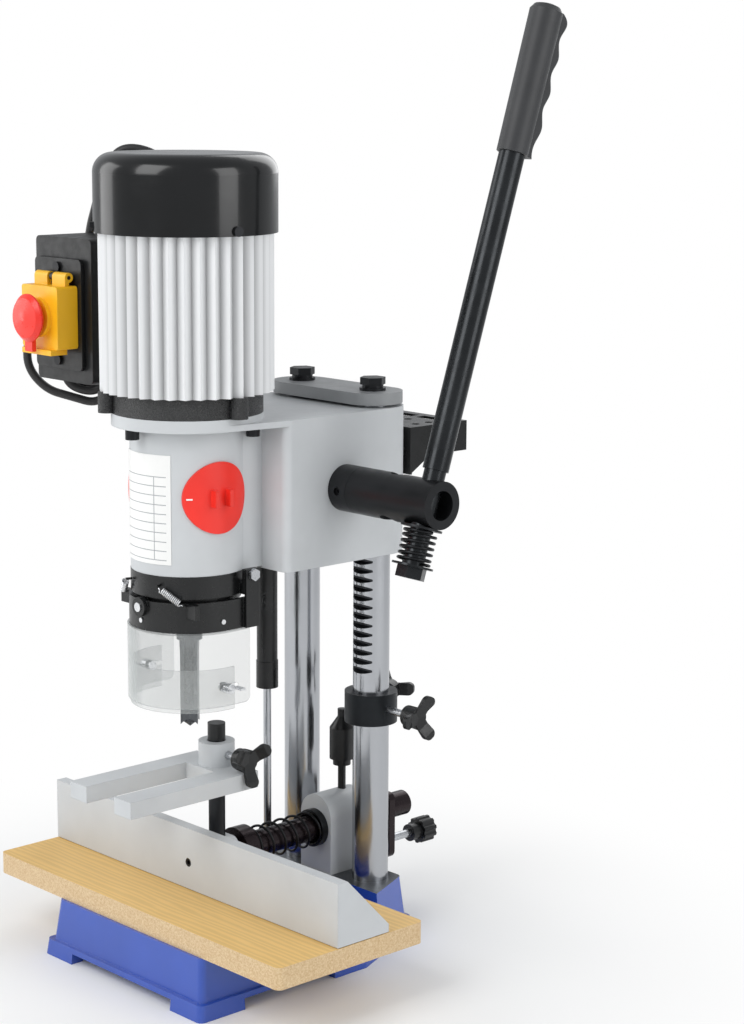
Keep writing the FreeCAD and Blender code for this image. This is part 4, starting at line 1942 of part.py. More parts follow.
def switch_cover():
    """Yellow hinged cover over the start button, with the red stop button's bezel and a lower lip."""
    xs = (SWITCH_COVER_LEFT_X, SWITCH_COVER_RIGHT_X)
    zs = (SWITCH_COVER_BOTTOM_Z, SWITCH_COVER_TOP_Z)
    back_y = SWITCH_FRONT_Y - PLATE_THICKNESS - SWITCH_COVER_GAP
    wall = SWITCH_COVER_WALL
    body = block(xs, (SWITCH_COVER_FRONT_Y, back_y), zs)
    body = rounded(body, wall, Y_WAY)
    room = block(
        (xs[0] + wall, xs[1] - wall),
        (SWITCH_COVER_FRONT_Y + wall, back_y + OVERRUN),
        (zs[0] + wall, zs[1] - wall),
    )
    front = point(STOP_X, SWITCH_COVER_FRONT_Y, STOP_Z)
    bezel = rod(STOP_BEZEL_R, front, front - Y_WAY * STOP_BEZEL)
    lip = block(
        (xs[0] + SWITCH_LIP_DROP, xs[1] - SWITCH_LIP_DROP),
        (SWITCH_COVER_FRONT_Y - SWITCH_LIP, back_y - 2 * SWITCH_LIP),
        (zs[0] - SWITCH_LIP_DROP, zs[0]),
    )
    eyes = []
    for x in switch_hinge_places():
        low = point(x - SWITCH_HINGE_WIDTH / 2, switch_hinge_y(), SWITCH_HINGE_Z)
        eyes.append(rod(SWITCH_HINGE_R, low, low + X_WAY * SWITCH_HINGE_WIDTH))
        eyes.append(
            block(
                (x - SWITCH_HINGE_WIDTH / 2, x + SWITCH_HINGE_WIDTH / 2),
                (switch_hinge_y() - SWITCH_HINGE_R, switch_hinge_y()),
                (zs[1] - wall, SWITCH_HINGE_Z),
            )
        )
    stem_hole = rod(STOP_STEM_R + RUNNING_FIT, front - Y_WAY * 2 * STOP_BEZEL, front + Y_WAY * 2 * wall)
    eye_r = SWITCH_HINGE_PIN_R + RUNNING_FIT
    eye_start = point(xs[0], switch_hinge_y(), SWITCH_HINGE_Z)
    eye_hole = rod(eye_r, eye_start, eye_start + X_WAY * (xs[1] - xs[0]))
    return drilled(fused([body, bezel, lip] + eyes), [room, stem_hole, eye_hole])


def stop_button():
    """Red mushroom button with its stem through the cover and a small tab below."""
    face_y = SWITCH_COVER_FRONT_Y - STOP_BEZEL - STOP_PRESS - SLIDING_GAP
    outline = [
        (0, 0),
        (STOP_BUTTON_R - STOP_BUTTON_DOME, 0),
        (STOP_BUTTON_R, STOP_BUTTON_DOME),
        (STOP_BUTTON_R, STOP_BUTTON_THICKNESS - STOP_BUTTON_DOME),
        (STOP_BUTTON_R - STOP_BUTTON_DOME, STOP_BUTTON_THICKNESS),
        (0, STOP_BUTTON_THICKNESS + STOP_BUTTON_DOME / 2),
    ]
    head = turned(outline, point(STOP_X, face_y, STOP_Z), Y_WAY * -1)
    stem_end = SWITCH_COVER_FRONT_Y + 2 * SWITCH_COVER_WALL
    stem = rod(STOP_STEM_R, point(STOP_X, face_y, STOP_Z), point(STOP_X, stem_end, STOP_Z))
    tab = block(
        (STOP_X - STOP_TAB_WIDTH / 2, STOP_X + STOP_TAB_WIDTH / 2),
        (face_y - STOP_BUTTON_THICKNESS / 2, face_y),
        (STOP_Z - STOP_BUTTON_R - STOP_TAB_DROP, STOP_Z),
    )
    return fused([head, stem, tab])


def start_button():
    """Green start button under the cover."""
    face_y = SWITCH_FRONT_Y - PLATE_THICKNESS - START_PROUD
    end_y = SWITCH_FRONT_Y + START_PROUD
    return rod(START_R, point(START_X, face_y, START_Z), point(START_X, end_y, START_Z))


def gland():
    """Cable gland on the switch box's left side."""
    side = point(SWITCH_LEFT_X, GLAND_Y, GLAND_Z)
    body = rod(GLAND_R, side - X_WAY * GLAND_LENGTH, side + X_WAY * 2 * SWITCH_WALL)
    flange = rod(GLAND_FLANGE_R, side - X_WAY * GLAND_FLANGE, side)
    return fused([body, flange])


def hank_ways():
    """Ways of the hank: across its loops, along its length and through its layers."""
    up = point(*HANK_HEAD) - point(*HANK_FOOT)
    up.normalize()
    level = point(1, 1, 0)
    across = level - up * level.dot(up)
    across.normalize()
    return across, up, across.cross(up)


def hank_spot(across_by, up_by, through_by):
    """A point counted from the hank's tie."""
    across, up, through = hank_ways()
    tie = point(*HANK_FOOT) + up * (LEAD_R + HANK_BEND_R + HANK_WAIST_HEIGHT)
    return tie + across * across_by + up * up_by + through * through_by


def hank_knots():
    """Knots of the hank: three loops that step in through one layer and one more in the next."""
    across, up = hank_ways()[:2]
    length = (point(*HANK_HEAD) - point(*HANK_FOOT)).Length
    top = length - 2 * (LEAD_R + HANK_BEND_R) - HANK_WAIST_HEIGHT
    step = HANK_STRAND_STEP
    bends = [HANK_BEND_R - step * i for i in range(3)]
    waists = [HANK_WAIST_OUTER - step * i for i in range(3)]
    near = step / 2
    rows = ((0, near), (1, near), (2, near), (2, -near), (1, -near))
    low = -HANK_WAIST_HEIGHT
    full = HANK_WAIST_HEIGHT
    span = top - full
    upper, lower = (full + span * share for share in HANK_STEP_SHARES)
    knots = [(hank_spot(-2 * LEAD_R, low - bends[0], near), across)]
    for i, (line, layer) in enumerate(rows):
        bend = bends[line]
        waist = waists[line]
        if i > 0:
            knots.append((hank_spot(-waist, 0, layer), up * -1))
            knots.append((hank_spot(-bend, low, layer), up * -1))
        knots.append((hank_spot(0, low - bend, layer), across))
        knots.append((hank_spot(bend, low, layer), up))
        if i == len(rows) - 1:
            knots.append((hank_spot(bend, low + 2 * LEAD_R, layer), up))
            break
        knots.append((hank_spot(waist, 0, layer), up))
        knots.append((hank_spot(bend, full, layer), up))
        knots.append((hank_spot(bend, top, layer), up))
        knots.append((hank_spot(0, top + bend, layer), across * -1))
        knots.append((hank_spot(-bend, top, layer), up * -1))
        next_line, next_layer = rows[i + 1]
        next_bend = bends[next_line]
        leaves_early = next_line < line
        climbs = next_layer != layer
        knots.append((hank_spot(-(next_bend if leaves_early else bend), upper, layer), up * -1))
        middle_bend = next_bend if leaves_early else bend
        middle_layer = next_layer if climbs else layer
        knots.append((hank_spot(-middle_bend, lower, middle_layer), up * -1))
        knots.append((hank_spot(-next_bend, full, next_layer), up * -1))
    return knots


def mains_hank():
    """The lead's spare length, tied as a hank of loops."""
    hank, path = wound(hank_knots(), LEAD_R)
    self_gap("mains_hank", path, LEAD_R, 2 * HANK_BEND_R)
    return hank


def cord_path(points):
    """Straight runs joined by tangent arcs, each as large as its two runs allow."""
    edges = []
    start = points[0]
    for i in range(1, len(points) - 1):
        back = points[i - 1] - points[i]
        ahead = points[i + 1] - points[i]
        reach = ARC_SHARE * min(back.Length, ahead.Length)
        turn = math.pi - back.getAngle(ahead)
        print("lead radius", round(reach / math.tan(turn / 2), 1), "turn", round(math.degrees(turn)))
        back.normalize()
        ahead.normalize()
        arc_start = points[i] + back * reach
        edges.append(Part.LineSegment(start, arc_start).toShape())
        start = points[i] + ahead * reach
        edges.append(arc_from(arc_start, back * -1, start))
    edges.append(Part.LineSegment(start, points[-1]).toShape())
    return Part.Wire(edges)


def mains_lead():
    """The free stretch from the gland to the hank, and the tail from the hank to the plug."""
    knots = hank_knots()
    start, start_way = knots[0]
    points = [point(*spot) for spot in LEAD_ROUTE] + [start - start_way * LEAD_RUN_IN, start]
    path = cord_path(points)
    way = points[1] - points[0]
    way.normalize()
    section = Part.Wire(Part.Circle(points[0], way, LEAD_R).toShape())
    shell = Part.BRepOffsetAPI.MakePipeShell(path)
    shell.add(section)
    shell.build()
    shell.makeSolid()
    stretch = shell.shape()
    print("lead volume share", round(stretch.Volume / (math.pi * LEAD_R ** 2 * path.Length), 4))
    end, end_way = knots[-1]
    tail, tail_path = wound([(end, end_way), plug_root()], LEAD_R)
    print("lead stretch", round(path.Length, 1), "tail", round(tail_path.Length, 1))
    return [stretch, tail]


def plug_root():
    """Where the tail enters the plug, and its direction."""
    up = hank_ways()[1]
    back = HANK_STRAND_STEP / 2 + LEAD_R + PLUG_GAP + PLUG_THICKNESS / 2
    rise = TAIL_RISE - HANK_WAIST_HEIGHT
    return hank_spot(HANK_BEND_R - 2 * HANK_STRAND_STEP, rise, -back), up


def mains_plug():
    """Moulded plug with two round pins, tucked behind the hank."""
    root, up = plug_root()
    across, up, through = hank_ways()
    half_width = across * (PLUG_WIDTH / 2)
    half_depth = through * (PLUG_THICKNESS / 2)
    corners = [
        root - half_width - half_depth,
        root + half_width - half_depth,
        root + half_width + half_depth,
        root - half_width + half_depth,
    ]
    body = rounded(prism(corners, up * PLUG_LENGTH), PLUG_EDGE_R, up)
    pins = []
    for side in SIDES:
        start = root + up * PLUG_LENGTH + across * (side * PIN_PITCH / 2)
        pins.append(rod(PIN_R, start, start + up * PIN_LENGTH))
    return fused([body] + pins)


def fence():
    """Fence casting: tall face, bottom flange, end gussets and the lug that takes the rod."""
    xs = (-FENCE_HALF_WIDTH, FENCE_HALF_WIDTH)
    rear = FENCE_FACE_Y + FENCE_THICKNESS
    wall = block(xs, (FENCE_FACE_Y, rear), (FENCE_BOTTOM_Z, FENCE_TOP_Z))
    floor_top = FENCE_BOTTOM_Z + FENCE_FLANGE
    flange = block(xs, (FENCE_FACE_Y, FENCE_FLANGE_REAR_Y), (FENCE_BOTTOM_Z, floor_top))
    pieces = [wall, flange]
    for side in SIDES:
        x = side * FENCE_HALF_WIDTH
        corners = [
            point(x, FENCE_FACE_Y, FENCE_TOP_Z),
            point(x, rear, FENCE_TOP_Z),
            point(x, FENCE_FLANGE_REAR_Y, floor_top),
            point(x, FENCE_FLANGE_REAR_Y, FENCE_BOTTOM_Z),
            point(x, FENCE_FACE_Y, FENCE_BOTTOM_Z),
        ]
        pieces.append(prism(corners, X_WAY * (-side * FENCE_GUSSET)))
    lug_half = FENCE_LUG_HALF_WIDTH
    lug = block((-lug_half, lug_half), (rear, FENCE_LUG_REAR_Y), (FENCE_BOTTOM_Z, FENCE_ROD_Z + lug_half))
    lug = rounded(lug, lug_half / 2, Y_WAY, lambda p: p.z > FENCE_ROD_Z)
    whole = fused(pieces + [lug])
    face = point(0, FENCE_FACE_Y, FENCE_ROD_Z)
    collar = point(0, ROD_COLLAR_FRONT_Y - SLIDING_GAP, FENCE_ROD_Z)
    collar_end = point(0, FENCE_FLANGE_REAR_Y + OVERRUN, FENCE_ROD_Z)
    cuts = [
        rod(ROD_COLLAR_R + SLIDING_GAP, collar, collar_end),
        rod(FENCE_SCREW_HEAD_R, face - Y_WAY, face + Y_WAY * FENCE_THICKNESS / 2),
        rod(FENCE_SCREW_R, face, face + Y_WAY * (POST_Y - FENCE_FACE_Y)),
        upright(POST_R, 0, POST_Y, floor_top, FENCE_TOP_Z),
    ]
    return drilled(whole, cuts)


def fence_screw():
    face = point(0, FENCE_FACE_Y, FENCE_ROD_Z)
    seat = face + Y_WAY * FENCE_THICKNESS / 2
    head = rod(FENCE_SCREW_HEAD_R, face + Y_WAY * SLIDING_GAP, seat)
    key = hexagon(FENCE_SCREW_HEAD_R, face - Y_WAY, face + Y_WAY * FENCE_SCREW_HEAD_R)
    end = point(0, POST_Y - POST_R, FENCE_ROD_Z)
    return head.cut(key).fuse(rod(FENCE_SCREW_R, seat, end)).cut(
        upright(POST_R, 0, POST_Y, FENCE_BOTTOM_Z, FENCE_TOP_Z)
    )


def fence_rod():
    """Round slide bar of the fence with its spring collar."""
    front = point(0, FENCE_LUG_REAR_Y, FENCE_ROD_Z)
    bar = rod(FENCE_ROD_R, front, point(0, FENCE_ROD_REAR_Y, FENCE_ROD_Z))
    collar_front = point(0, ROD_COLLAR_FRONT_Y, FENCE_ROD_Z)
    collar = rod(ROD_COLLAR_R, collar_front, collar_front + Y_WAY * ROD_COLLAR_WIDTH)
    return fused([bar, collar])


def holddown_post():
    """Round post in the fence's lug with its plastic cap."""
    floor_top = FENCE_BOTTOM_Z + FENCE_FLANGE
    post = upright(POST_R, 0, POST_Y, floor_top, POST_TOP_Z)
    cap_bottom = POST_TOP_Z - POST_CAP_RECESS
    cap = upright(POST_CAP_R, 0, POST_Y, cap_bottom, cap_bottom + POST_CAP_LENGTH)
    return [post, cap.cut(post)]


def rear_plate():
    """Plate on the rod's rear end, tapped for the adjusting screw."""
    ys = (REAR_PLATE_Y, REAR_PLATE_Y + REAR_PLATE_THICKNESS)
    zs = (REAR_PLATE_BOTTOM_Z, REAR_PLATE_TOP_Z)
    plate = block((-REAR_PLATE_HALF_WIDTH, REAR_PLATE_HALF_WIDTH), ys, zs)
    plate = rounded(plate, REAR_PLATE_THICKNESS, Y_WAY)
    low = REAR_PLATE_Y - OVERRUN
    high = REAR_PLATE_Y + 2 * REAR_PLATE_THICKNESS
    cuts = [
        rod(FENCE_ROD_R, point(0, low, FENCE_ROD_Z), point(0, high, FENCE_ROD_Z)),
        rod(ADJUST_R + RUNNING_FIT, point(0, low, ADJUST_Z), point(0, high, ADJUST_Z)),
    ]
    return drilled(plate, cuts)


def adjust_screw():
    """Silver screw that bears on the block's back, with its scalloped black knob."""
    tip = point(0, BLOCK_REAR_Y + SLIDING_GAP, ADJUST_Z)
    knob = point(0, ADJUST_KNOB_Y, ADJUST_Z)
    rim = knob + Y_WAY * ADJUST_HUB_LENGTH
    end = rim + Y_WAY * ADJUST_KNOB_LENGTH
    wheel = rod(ADJUST_KNOB_R, rim, end)
    cuts = []
    for i in range(ADJUST_SCALLOPS):
        angle = 2 * math.pi * i / ADJUST_SCALLOPS
        reach = point(math.cos(angle), 0, math.sin(angle)) * (ADJUST_KNOB_R + ADJUST_SCALLOP_R / 2)
        cuts.append(rod(ADJUST_SCALLOP_R, rim + reach - Y_WAY, end + reach + Y_WAY))
    return fused([rod(ADJUST_R, tip, end), rod(ADJUST_HUB_R, knob, rim), drilled(wheel, cuts)])


def lock_knob():
    """Stud down to the fence rod, with a tall black knob on top."""
    stud_bottom = FENCE_ROD_Z + FENCE_ROD_R + SLIDING_GAP
    top = LOCK_STUD_TOP_Z
    stud = upright(LOCK_STUD_R, 0, LOCK_Y, stud_bottom, top)
    body_low = top + LOCK_STEP
    body_high = body_low + LOCK_KNOB_HEIGHT
    outline = [
        (0, top),
        (LOCK_STEP_R, top),
        (LOCK_STEP_R, body_low),
        (LOCK_KNOB_R, body_low),
        (LOCK_KNOB_R, body_high),
        (LOCK_BUTTON_R, body_high + LOCK_CONE_HEIGHT),
        (LOCK_BUTTON_R, body_high + LOCK_CONE_HEIGHT + LOCK_BUTTON_HEIGHT),
        (0, body_high + LOCK_CONE_HEIGHT + LOCK_BUTTON_HEIGHT),
    ]
    return fused([stud, turned(outline, point(0, LOCK_Y, 0), Z_WAY)])


def holddown_fork():
    """Hold-down fork: two arms joined behind by a round boss on the post."""
    body = block(
        (-FORK_HALF_WIDTH, FORK_HALF_WIDTH), (-FORK_FRONT, FORK_REAR_Y), (FORK_BOTTOM_Z, FORK_TOP_Z)
    )
    slot = block(
        (-FORK_SLOT_HALF_WIDTH, FORK_SLOT_HALF_WIDTH),
        (-FORK_FRONT - OVERRUN, FORK_SLOT_REAR_Y),
        (FORK_BOTTOM_Z - OVERRUN, FORK_TOP_Z + OVERRUN),
    )
    boss = upright(FORK_BOSS_R, 0, POST_Y, FORK_BOTTOM_Z, FORK_BOSS_TOP_Z)
    whole = fused([body.cut(slot), boss])
    post_hole = upright(POST_R + RUNNING_FIT, 0, POST_Y, FORK_BOTTOM_Z - OVERRUN, FORK_BOSS_TOP_Z + OVERRUN)
    start = point(0, POST_Y, FORK_SCREW_Z)
    screw_hole = rod(WING_SCREW_R + RUNNING_FIT, start, start + X_WAY * (FORK_BOSS_R + OVERRUN))
    cap_room = upright(
        POST_CAP_R + SLIDING_GAP, 0, POST_Y, POST_TOP_Z - 2 * POST_CAP_RECESS, FORK_BOSS_TOP_Z + OVERRUN
    )
    return drilled(whole, [post_hole, screw_hole, cap_room])


def wing_screw(start, way, spin, reach):
    """Silver screw, from its inner end, with a black three-lobed knob."""
    shaft_end = start + way * reach
    turn = FreeCAD.Rotation(Z_WAY, way)
    knob_end = shaft_end + way * WING_THICKNESS
    lobes = []
    for i in range(WING_LOBES):
        angle = math.radians(spin + i * FULL_TURN / WING_LOBES)
        out = turn.multVec(point(math.cos(angle), math.sin(angle), 0))
        side = way.cross(out) * WING_LOBE_WIDTH
        low = shaft_end - side / 2
        lobe = prism([low + way * along + out * from_axis for along, from_axis in WING_OUTLINE], side)
        lobes.append(rounded(lobe, WING_TIP_R, way, lambda p: (p - shaft_end).dot(out) > WING_HUB_R))
    hub = rod(WING_HUB_R, shaft_end, knob_end)
    return fused([rod(WING_SCREW_R, start, knob_end), hub] + lobes)


def holddown_screw():
    start = point(POST_R + SLIDING_GAP, POST_Y, FORK_SCREW_Z)
    return wing_screw(start, X_WAY, 0.0, FORK_BOSS_R - POST_R + WING_SHAFT)


def stop_collar():
    """Depth stop ring on the right column, drilled for two wing screws."""
    start = point(COLUMN_X, COLUMN_Y, STOP_BOTTOM_Z)
    ring = tube(STOP_R, COLUMN_R + RUNNING_FIT, start, start + Z_WAY * STOP_HEIGHT)
    middle = point(COLUMN_X, COLUMN_Y, STOP_SCREW_Z)
    reach = STOP_R + OVERRUN
    ways = (X_WAY, stop_rear_way())
    holes = [rod(WING_SCREW_R + RUNNING_FIT, middle, middle + way * reach) for way in ways]
    return drilled(ring, holes)


def stop_rear_way():
    """The rear screw points behind the column, a little to the left."""
    angle = math.radians(STOP_REAR_AZIMUTH)
    return point(-math.sin(angle), math.cos(angle), 0)


def stop_screw(way, spin):
    middle = point(COLUMN_X, COLUMN_Y, STOP_SCREW_Z)
    start = middle + way * (COLUMN_R + SLIDING_GAP)
    return wing_screw(start, way, spin, STOP_R - COLUMN_R + STOP_SHAFT)



def main():
    os.makedirs("parts", exist_ok=True)
    pieces = {
        "base_casting": [base_casting()],
        "table_board": [table_board()],
        "left_column": [column(-1)],
        "right_column": [right_column()],
        "tie_plate": [tie_plate()],
        "stand_screws": tie_bolts() + base_screws(),
        "fence_block": [fence_block(), spring_cup()],
        "strut_rod": [strut_foot()],
        "strut_cylinder": [strut_cylinder()],
        "head_casting": [head_casting()],
        "pinion_shaft": [pinion()],
        "hub_collar": hub_collar(),
        "lever_hub": lever_hub(),
        "lever_rod": [lever_rod()],
        "lever_grip": [lever_grip()],
        "lever_bolt": lever_bolt(),
        "lever_spring": [lever_spring()],
        "motor_base_ring": [motor_base_ring()],
        "head_screws": motor_screws() + plate_screw_set() + guard_pins(),
        "motor_housing": [motor_housing()],
        "motor_bearings": motor_bearings(),
        "stator": [stator()],
        "motor_rotor": [rotor(), motor_shaft()],
        "cooling_fan": [cooling_fan()],
        "fan_cover": [fan_cover()],
        "chuck_body": [chuck_body()],
        "chuck_sleeve": [chuck_sleeve()],
        "auger_bit": [auger_bit()],
        "chisel_bushing": [chisel_bushing()],
        "chisel": [chisel()],
        "right_door": [door(1)],
        "left_door": [door(-1)],
        "rating_plate": [rating_plate()],
        "guard_collar": [guard_collar()],
        "guard_band": [guard_band()],
        "guard_shield": [guard_shield()],
        "guard_rivets": guard_rivets(),
        "guard_visor": [guard_visor()],
        "visor_bolts": visor_bolts(),
        "guard_springs": guard_springs(),
        "tool_holder": [tool_holder()],
        "switch_box": [switch_box(), gland()],
        "switch_plate": [switch_plate()],
        "switch_cover": [switch_cover()],
        "stop_button": [stop_button()],
        "start_button": [start_button()],
        "fence": [fence()],
        "fence_rod": [fence_rod(), rear_plate()],
        "holddown_post": holddown_post() + [fence_screw()],
        "fence_spring": [fence_spring()],
        "adjust_screw": [adjust_screw()],
        "lock_knob": [lock_knob()],
        "holddown_fork": [holddown_fork()],
        "holddown_screw": [holddown_screw()],
        "stop_collar": [stop_collar()],
        "stop_screw_side": [stop_screw(X_WAY, STOP_SIDE_SPIN)],
        "stop_screw_rear": [stop_screw(stop_rear_way(), STOP_REAR_SPIN)],
        "mains_hank": [mains_hank()],
        "mains_lead": mains_lead(),
        "mains_plug": [mains_plug()],
    }
    for name, shapes in pieces.items():
        keep(name, shapes)


main()
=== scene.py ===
"""Benchtop mortiser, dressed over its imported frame.

Every place is in metres in the frame's own axes: +Z up, the front towards -Y, the lever at +X.
Each operator makes or finishes one group of pieces; main() at the end calls them in order.
"""
import json
import math

import bmesh
import bpy
from bpy.props import FloatProperty, FloatVectorProperty, IntProperty, PointerProperty
from mathutils import Matrix, Vector


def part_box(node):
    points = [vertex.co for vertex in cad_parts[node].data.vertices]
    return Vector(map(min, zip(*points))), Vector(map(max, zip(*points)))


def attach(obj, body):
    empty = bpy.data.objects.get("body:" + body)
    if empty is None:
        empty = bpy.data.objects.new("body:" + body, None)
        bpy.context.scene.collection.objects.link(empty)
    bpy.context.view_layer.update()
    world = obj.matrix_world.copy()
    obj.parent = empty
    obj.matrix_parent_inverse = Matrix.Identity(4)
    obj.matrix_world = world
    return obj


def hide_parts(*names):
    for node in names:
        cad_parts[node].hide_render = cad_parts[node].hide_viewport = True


bl_info = {
    "name": "Benchtop Mortiser",
    "version": (1, 0, 0),
    "blender": (4, 5, 0),
    "location": "3D View > Sidebar > Mortiser",
    "description": "Dresses the packed mortiser with its finishes, cord and small parts",
    "category": "Object",
}

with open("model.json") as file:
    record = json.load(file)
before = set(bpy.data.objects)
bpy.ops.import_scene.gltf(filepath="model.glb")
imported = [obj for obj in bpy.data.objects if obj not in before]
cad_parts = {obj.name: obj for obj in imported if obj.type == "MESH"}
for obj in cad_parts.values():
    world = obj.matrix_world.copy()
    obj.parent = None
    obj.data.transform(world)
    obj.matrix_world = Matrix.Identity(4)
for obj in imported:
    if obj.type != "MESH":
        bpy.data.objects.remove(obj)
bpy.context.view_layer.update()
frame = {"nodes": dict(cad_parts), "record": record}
nodes = frame["nodes"]
body_of_node = {
    node: body
    for body, members in frame["record"]["behaviour"]["bodies"].items()
    for node in members
}

X_WAY = Vector((1, 0, 0))

# The camera, fitted to the photograph: where it stands, its turn round the object and its lens
CAMERA_PLACE = Vector((1.31439, -1.06507, 0.659))
CAMERA_AZIMUTH = math.radians(46.83)
CAMERA_PITCH = math.radians(10.54)
CAMERA_ROLL = math.radians(0.34)
SENSOR_WIDTH = 36
PHOTO_WIDTH = 744
FOCAL_PIXELS = 2348.37
CAMERA_FOCAL = FOCAL_PIXELS / PHOTO_WIDTH * SENSOR_WIDTH

# The mains lead's route, as in the part's source: gland to hank
LEAD_ROUTE = (
    (-0.148, -0.027, 0.472),
    (-0.163, -0.0275, 0.472),
    (-0.175, -0.030, 0.461),
    (-0.176, -0.032, 0.438),
)
LEAD_RUN_IN = 0.020

# The tied hank: where it lies, its loops' widths and how they are drawn in at the tie
HANK_FOOT = Vector((-0.150, -0.002, 0.410))
HANK_HEAD = Vector((-0.105, 0.031, 0.606))
HANK_BEND = 0.0245
HANK_STEP = 0.0076
HANK_WAIST = 0.0192
HANK_WAIST_HEIGHT = 0.035
HANK_STEP_SHARES = (0.67, 0.4)
BEND_CORNER_SHARE = 0.62
BEND_LEAN_SHARE = 0.35
LOWER_WAIST_SHARE = 0.55
UPPER_WAIST_SHARE = 0.6
TAIL_RISE = 0.060
TAIL_RUN = 0.02
PLUG_GAP = 0.002
PLUG_THICKNESS = 0.020

# The strain relief's ribs, as shares of their pitch and of their outer radius
RELIEF_SET_BACK = 0.002
RELIEF_RIBS = 6
RELIEF_WIDE = 0.0062
RELIEF_NARROW = 0.0044
RIB_SHARE = 0.6
RIB_FALL_SHARE = 0.7
GROOVE_SHARE = 0.95
GROOVE_DEPTH_SHARE = 0.86

# The twist tie: its room round the strands, how square its turn is, and its cross-section
TIE_ROOM = 0.0016
TIE_SQUARENESS = 0.5
TIE_SECTION = (
    (-0.002, -0.0005), (0.002, -0.0005), (0.002, 0.0006),
    (0.0006, 0.0009), (-0.0006, 0.0009), (-0.002, 0.0006),
)

# Where one node changes its finish, from the part's source
PAD_FACE = 0.0004
SCREW_MARGIN = 0.010
POST_CAP = 0.0135
ADJUST_KNOB = 0.0225
WING_KNOB = 0.0175
CUP_LENGTH = 0.0058
RACK_DEPTH = 0.0005
STOP_REAR_WAY = Vector((-0.5, 0.866025, 0))

# The doors' white dash: azimuth in degrees round the spindle, radius of the door's face and size
SPINDLE_Y = -0.015
DOOR_FACE_R = 0.0437
DASH_AZIMUTH = 52.5
DASH_LENGTH = 0.0046
DASH_HEIGHT = 0.0011
DASH_PROUD = 0.0003

# The rating plate's rules, the fins' radii over which painted shade darkens the valleys, and the broken
# edges of painted and moulded pieces
PLATE_ROWS = 9
PLATE_BAND = 0.016
PLATE_MARGIN = 0.003
PLATE_COLUMN = 0.012
RULE_SHARE = 0.09
MARGIN_LINE_HALF = 0.0003
FIN_VALLEY = 0.0574
FIN_RIDGE = 0.0612
EDGE = 0.0006

# The stage: the floor's radius, and where round the machine it fades into the white room
FLOOR_R = 12
FLOOR_FADE_START = 0.14
FLOOR_FADE_END = 0.5
LAMP_AIM = Vector((0, 0, 0.34))
LAMP_TALL = 1.5


def linear(code):
    """A colour written as sRGB hex, turned to the linear values that Blender renders with."""
    channels = [int(code[i:i + 2], 16) / 255 for i in (0, 2, 4)]
    return tuple(c / 12.92 if c <= 0.04045 else ((c + 0.055) / 1.055) ** 2.4 for c in channels)


def colour(label, description, code):
    """A colour that a user can change, from its sRGB hex."""
    return FloatVectorProperty(
        name=label, description=description, subtype="COLOR", size=3, min=0, max=1,
        default=linear(code)
    )


def length(label, description, metres):
    """A length that a user can change."""
    return FloatProperty(name=label, description=description, unit="LENGTH", min=0, default=metres)


class MortiserColours(bpy.types.PropertyGroup):
    enamel: colour("Base enamel", "Gloss enamel of the base casting", "2c4fae")
    grey_paint: colour("Grey paint", "Satin paint of the head, fence, fork and block", "c6c9cb")
    black_paint: colour("Black paint", "Satin paint of the cover, strut and tool holder", "0c0d0e")
    housing: colour("Motor housing", "Silver-white paint of the motor's fins", "e6e7e8")
    laminate: colour("Table laminate", "Face of the table board", "e6bd72")
    red: colour("Red plastic", "Doors and stop button", "ee3024")
    yellow: colour("Yellow plastic", "Hinged switch cover", "f6bb1d")
    green: colour("Green plastic", "Start button under the cover", "1f8a3c")
    black_plastic: colour("Black plastic", "Knobs, guard and switch box", "0d0e0f")
    cord: colour("Cord", "Outer sheath of the mains lead", "1b1b1c")
    grip: colour("Grip", "Rubber grip of the lever", "2b2c2e")


class MortiserSizes(bpy.types.PropertyGroup):
    cord_diameter: length("Cord diameter", "Outer diameter of the mains lead", 0.0065)
    cord_length: length("Cord length", "Whole length of the mains lead with its hank and tail", 1.76)
    relief_length: length("Strain relief length", "Ribbed sleeve where the lead leaves its box", 0.022)
    tie_steps: IntProperty(name="Tie steps", description="Steps round the tie", min=12, default=40)


# Building blocks of the finishes


def per(millimetres):
    """The texture scale at which one feature is that many millimetres wide on Object coordinates."""
    return 1000 / millimetres


def add(tree, kind, links=None, **settings):
    """Adds a shader node with its settings, and sets or links its inputs."""
    node = tree.nodes.new("ShaderNode" + kind)
    for key, value in settings.items():
        setattr(node, key, value)
    for socket, source in (links or {}).items():
        if isinstance(source, bpy.types.NodeSocket):
            tree.links.new(source, node.inputs[socket])
        else:
            node.inputs[socket].default_value = source
    return node


def material(name, base, **sockets):
    """A Principled material; sockets are given with underscores for their spaces."""
    made = bpy.data.materials.new(name)
    made.use_nodes = True
    tree = made.node_tree
    shader = tree.nodes["Principled BSDF"]
    shader.inputs["Base Color"].default_value = (*base, 1)
    for socket, value in sockets.items():
        shader.inputs[socket.replace("_", " ")].default_value = value
    made.diffuse_color = (*base, 1)
    return made


def shader_of(made):
    return made.node_tree.nodes["Principled BSDF"]


def place(made, stretch=(1, 1, 1)):
    """Object coordinates, stretched so that a pattern runs along one way."""
    tree = made.node_tree
    coordinates = add(tree, "TexCoord").outputs["Object"]
    return add(tree, "Mapping", {"Vector": coordinates, "Scale": stretch}).outputs["Vector"]


def noise(made, millimetres, detail=3.0, roughness=0.55, stretch=(1, 1, 1)):
    """Soft noise whose lumps are that many millimetres wide."""
    tree = made.node_tree
    vector = place(made, stretch)
    return add(
        tree, "TexNoise",
        {"Vector": vector, "Scale": per(millimetres), "Detail": detail, "Roughness": roughness},
    ).outputs["Fac"]


def spread(made, pattern, low, high, near=0.35, far=0.65):
    """A pattern turned into numbers between low and high."""
    return add(
        made.node_tree, "MapRange",
        {"Value": pattern, "From Min": near, "From Max": far, "To Min": low, "To Max": high},
    ).outputs["Result"]


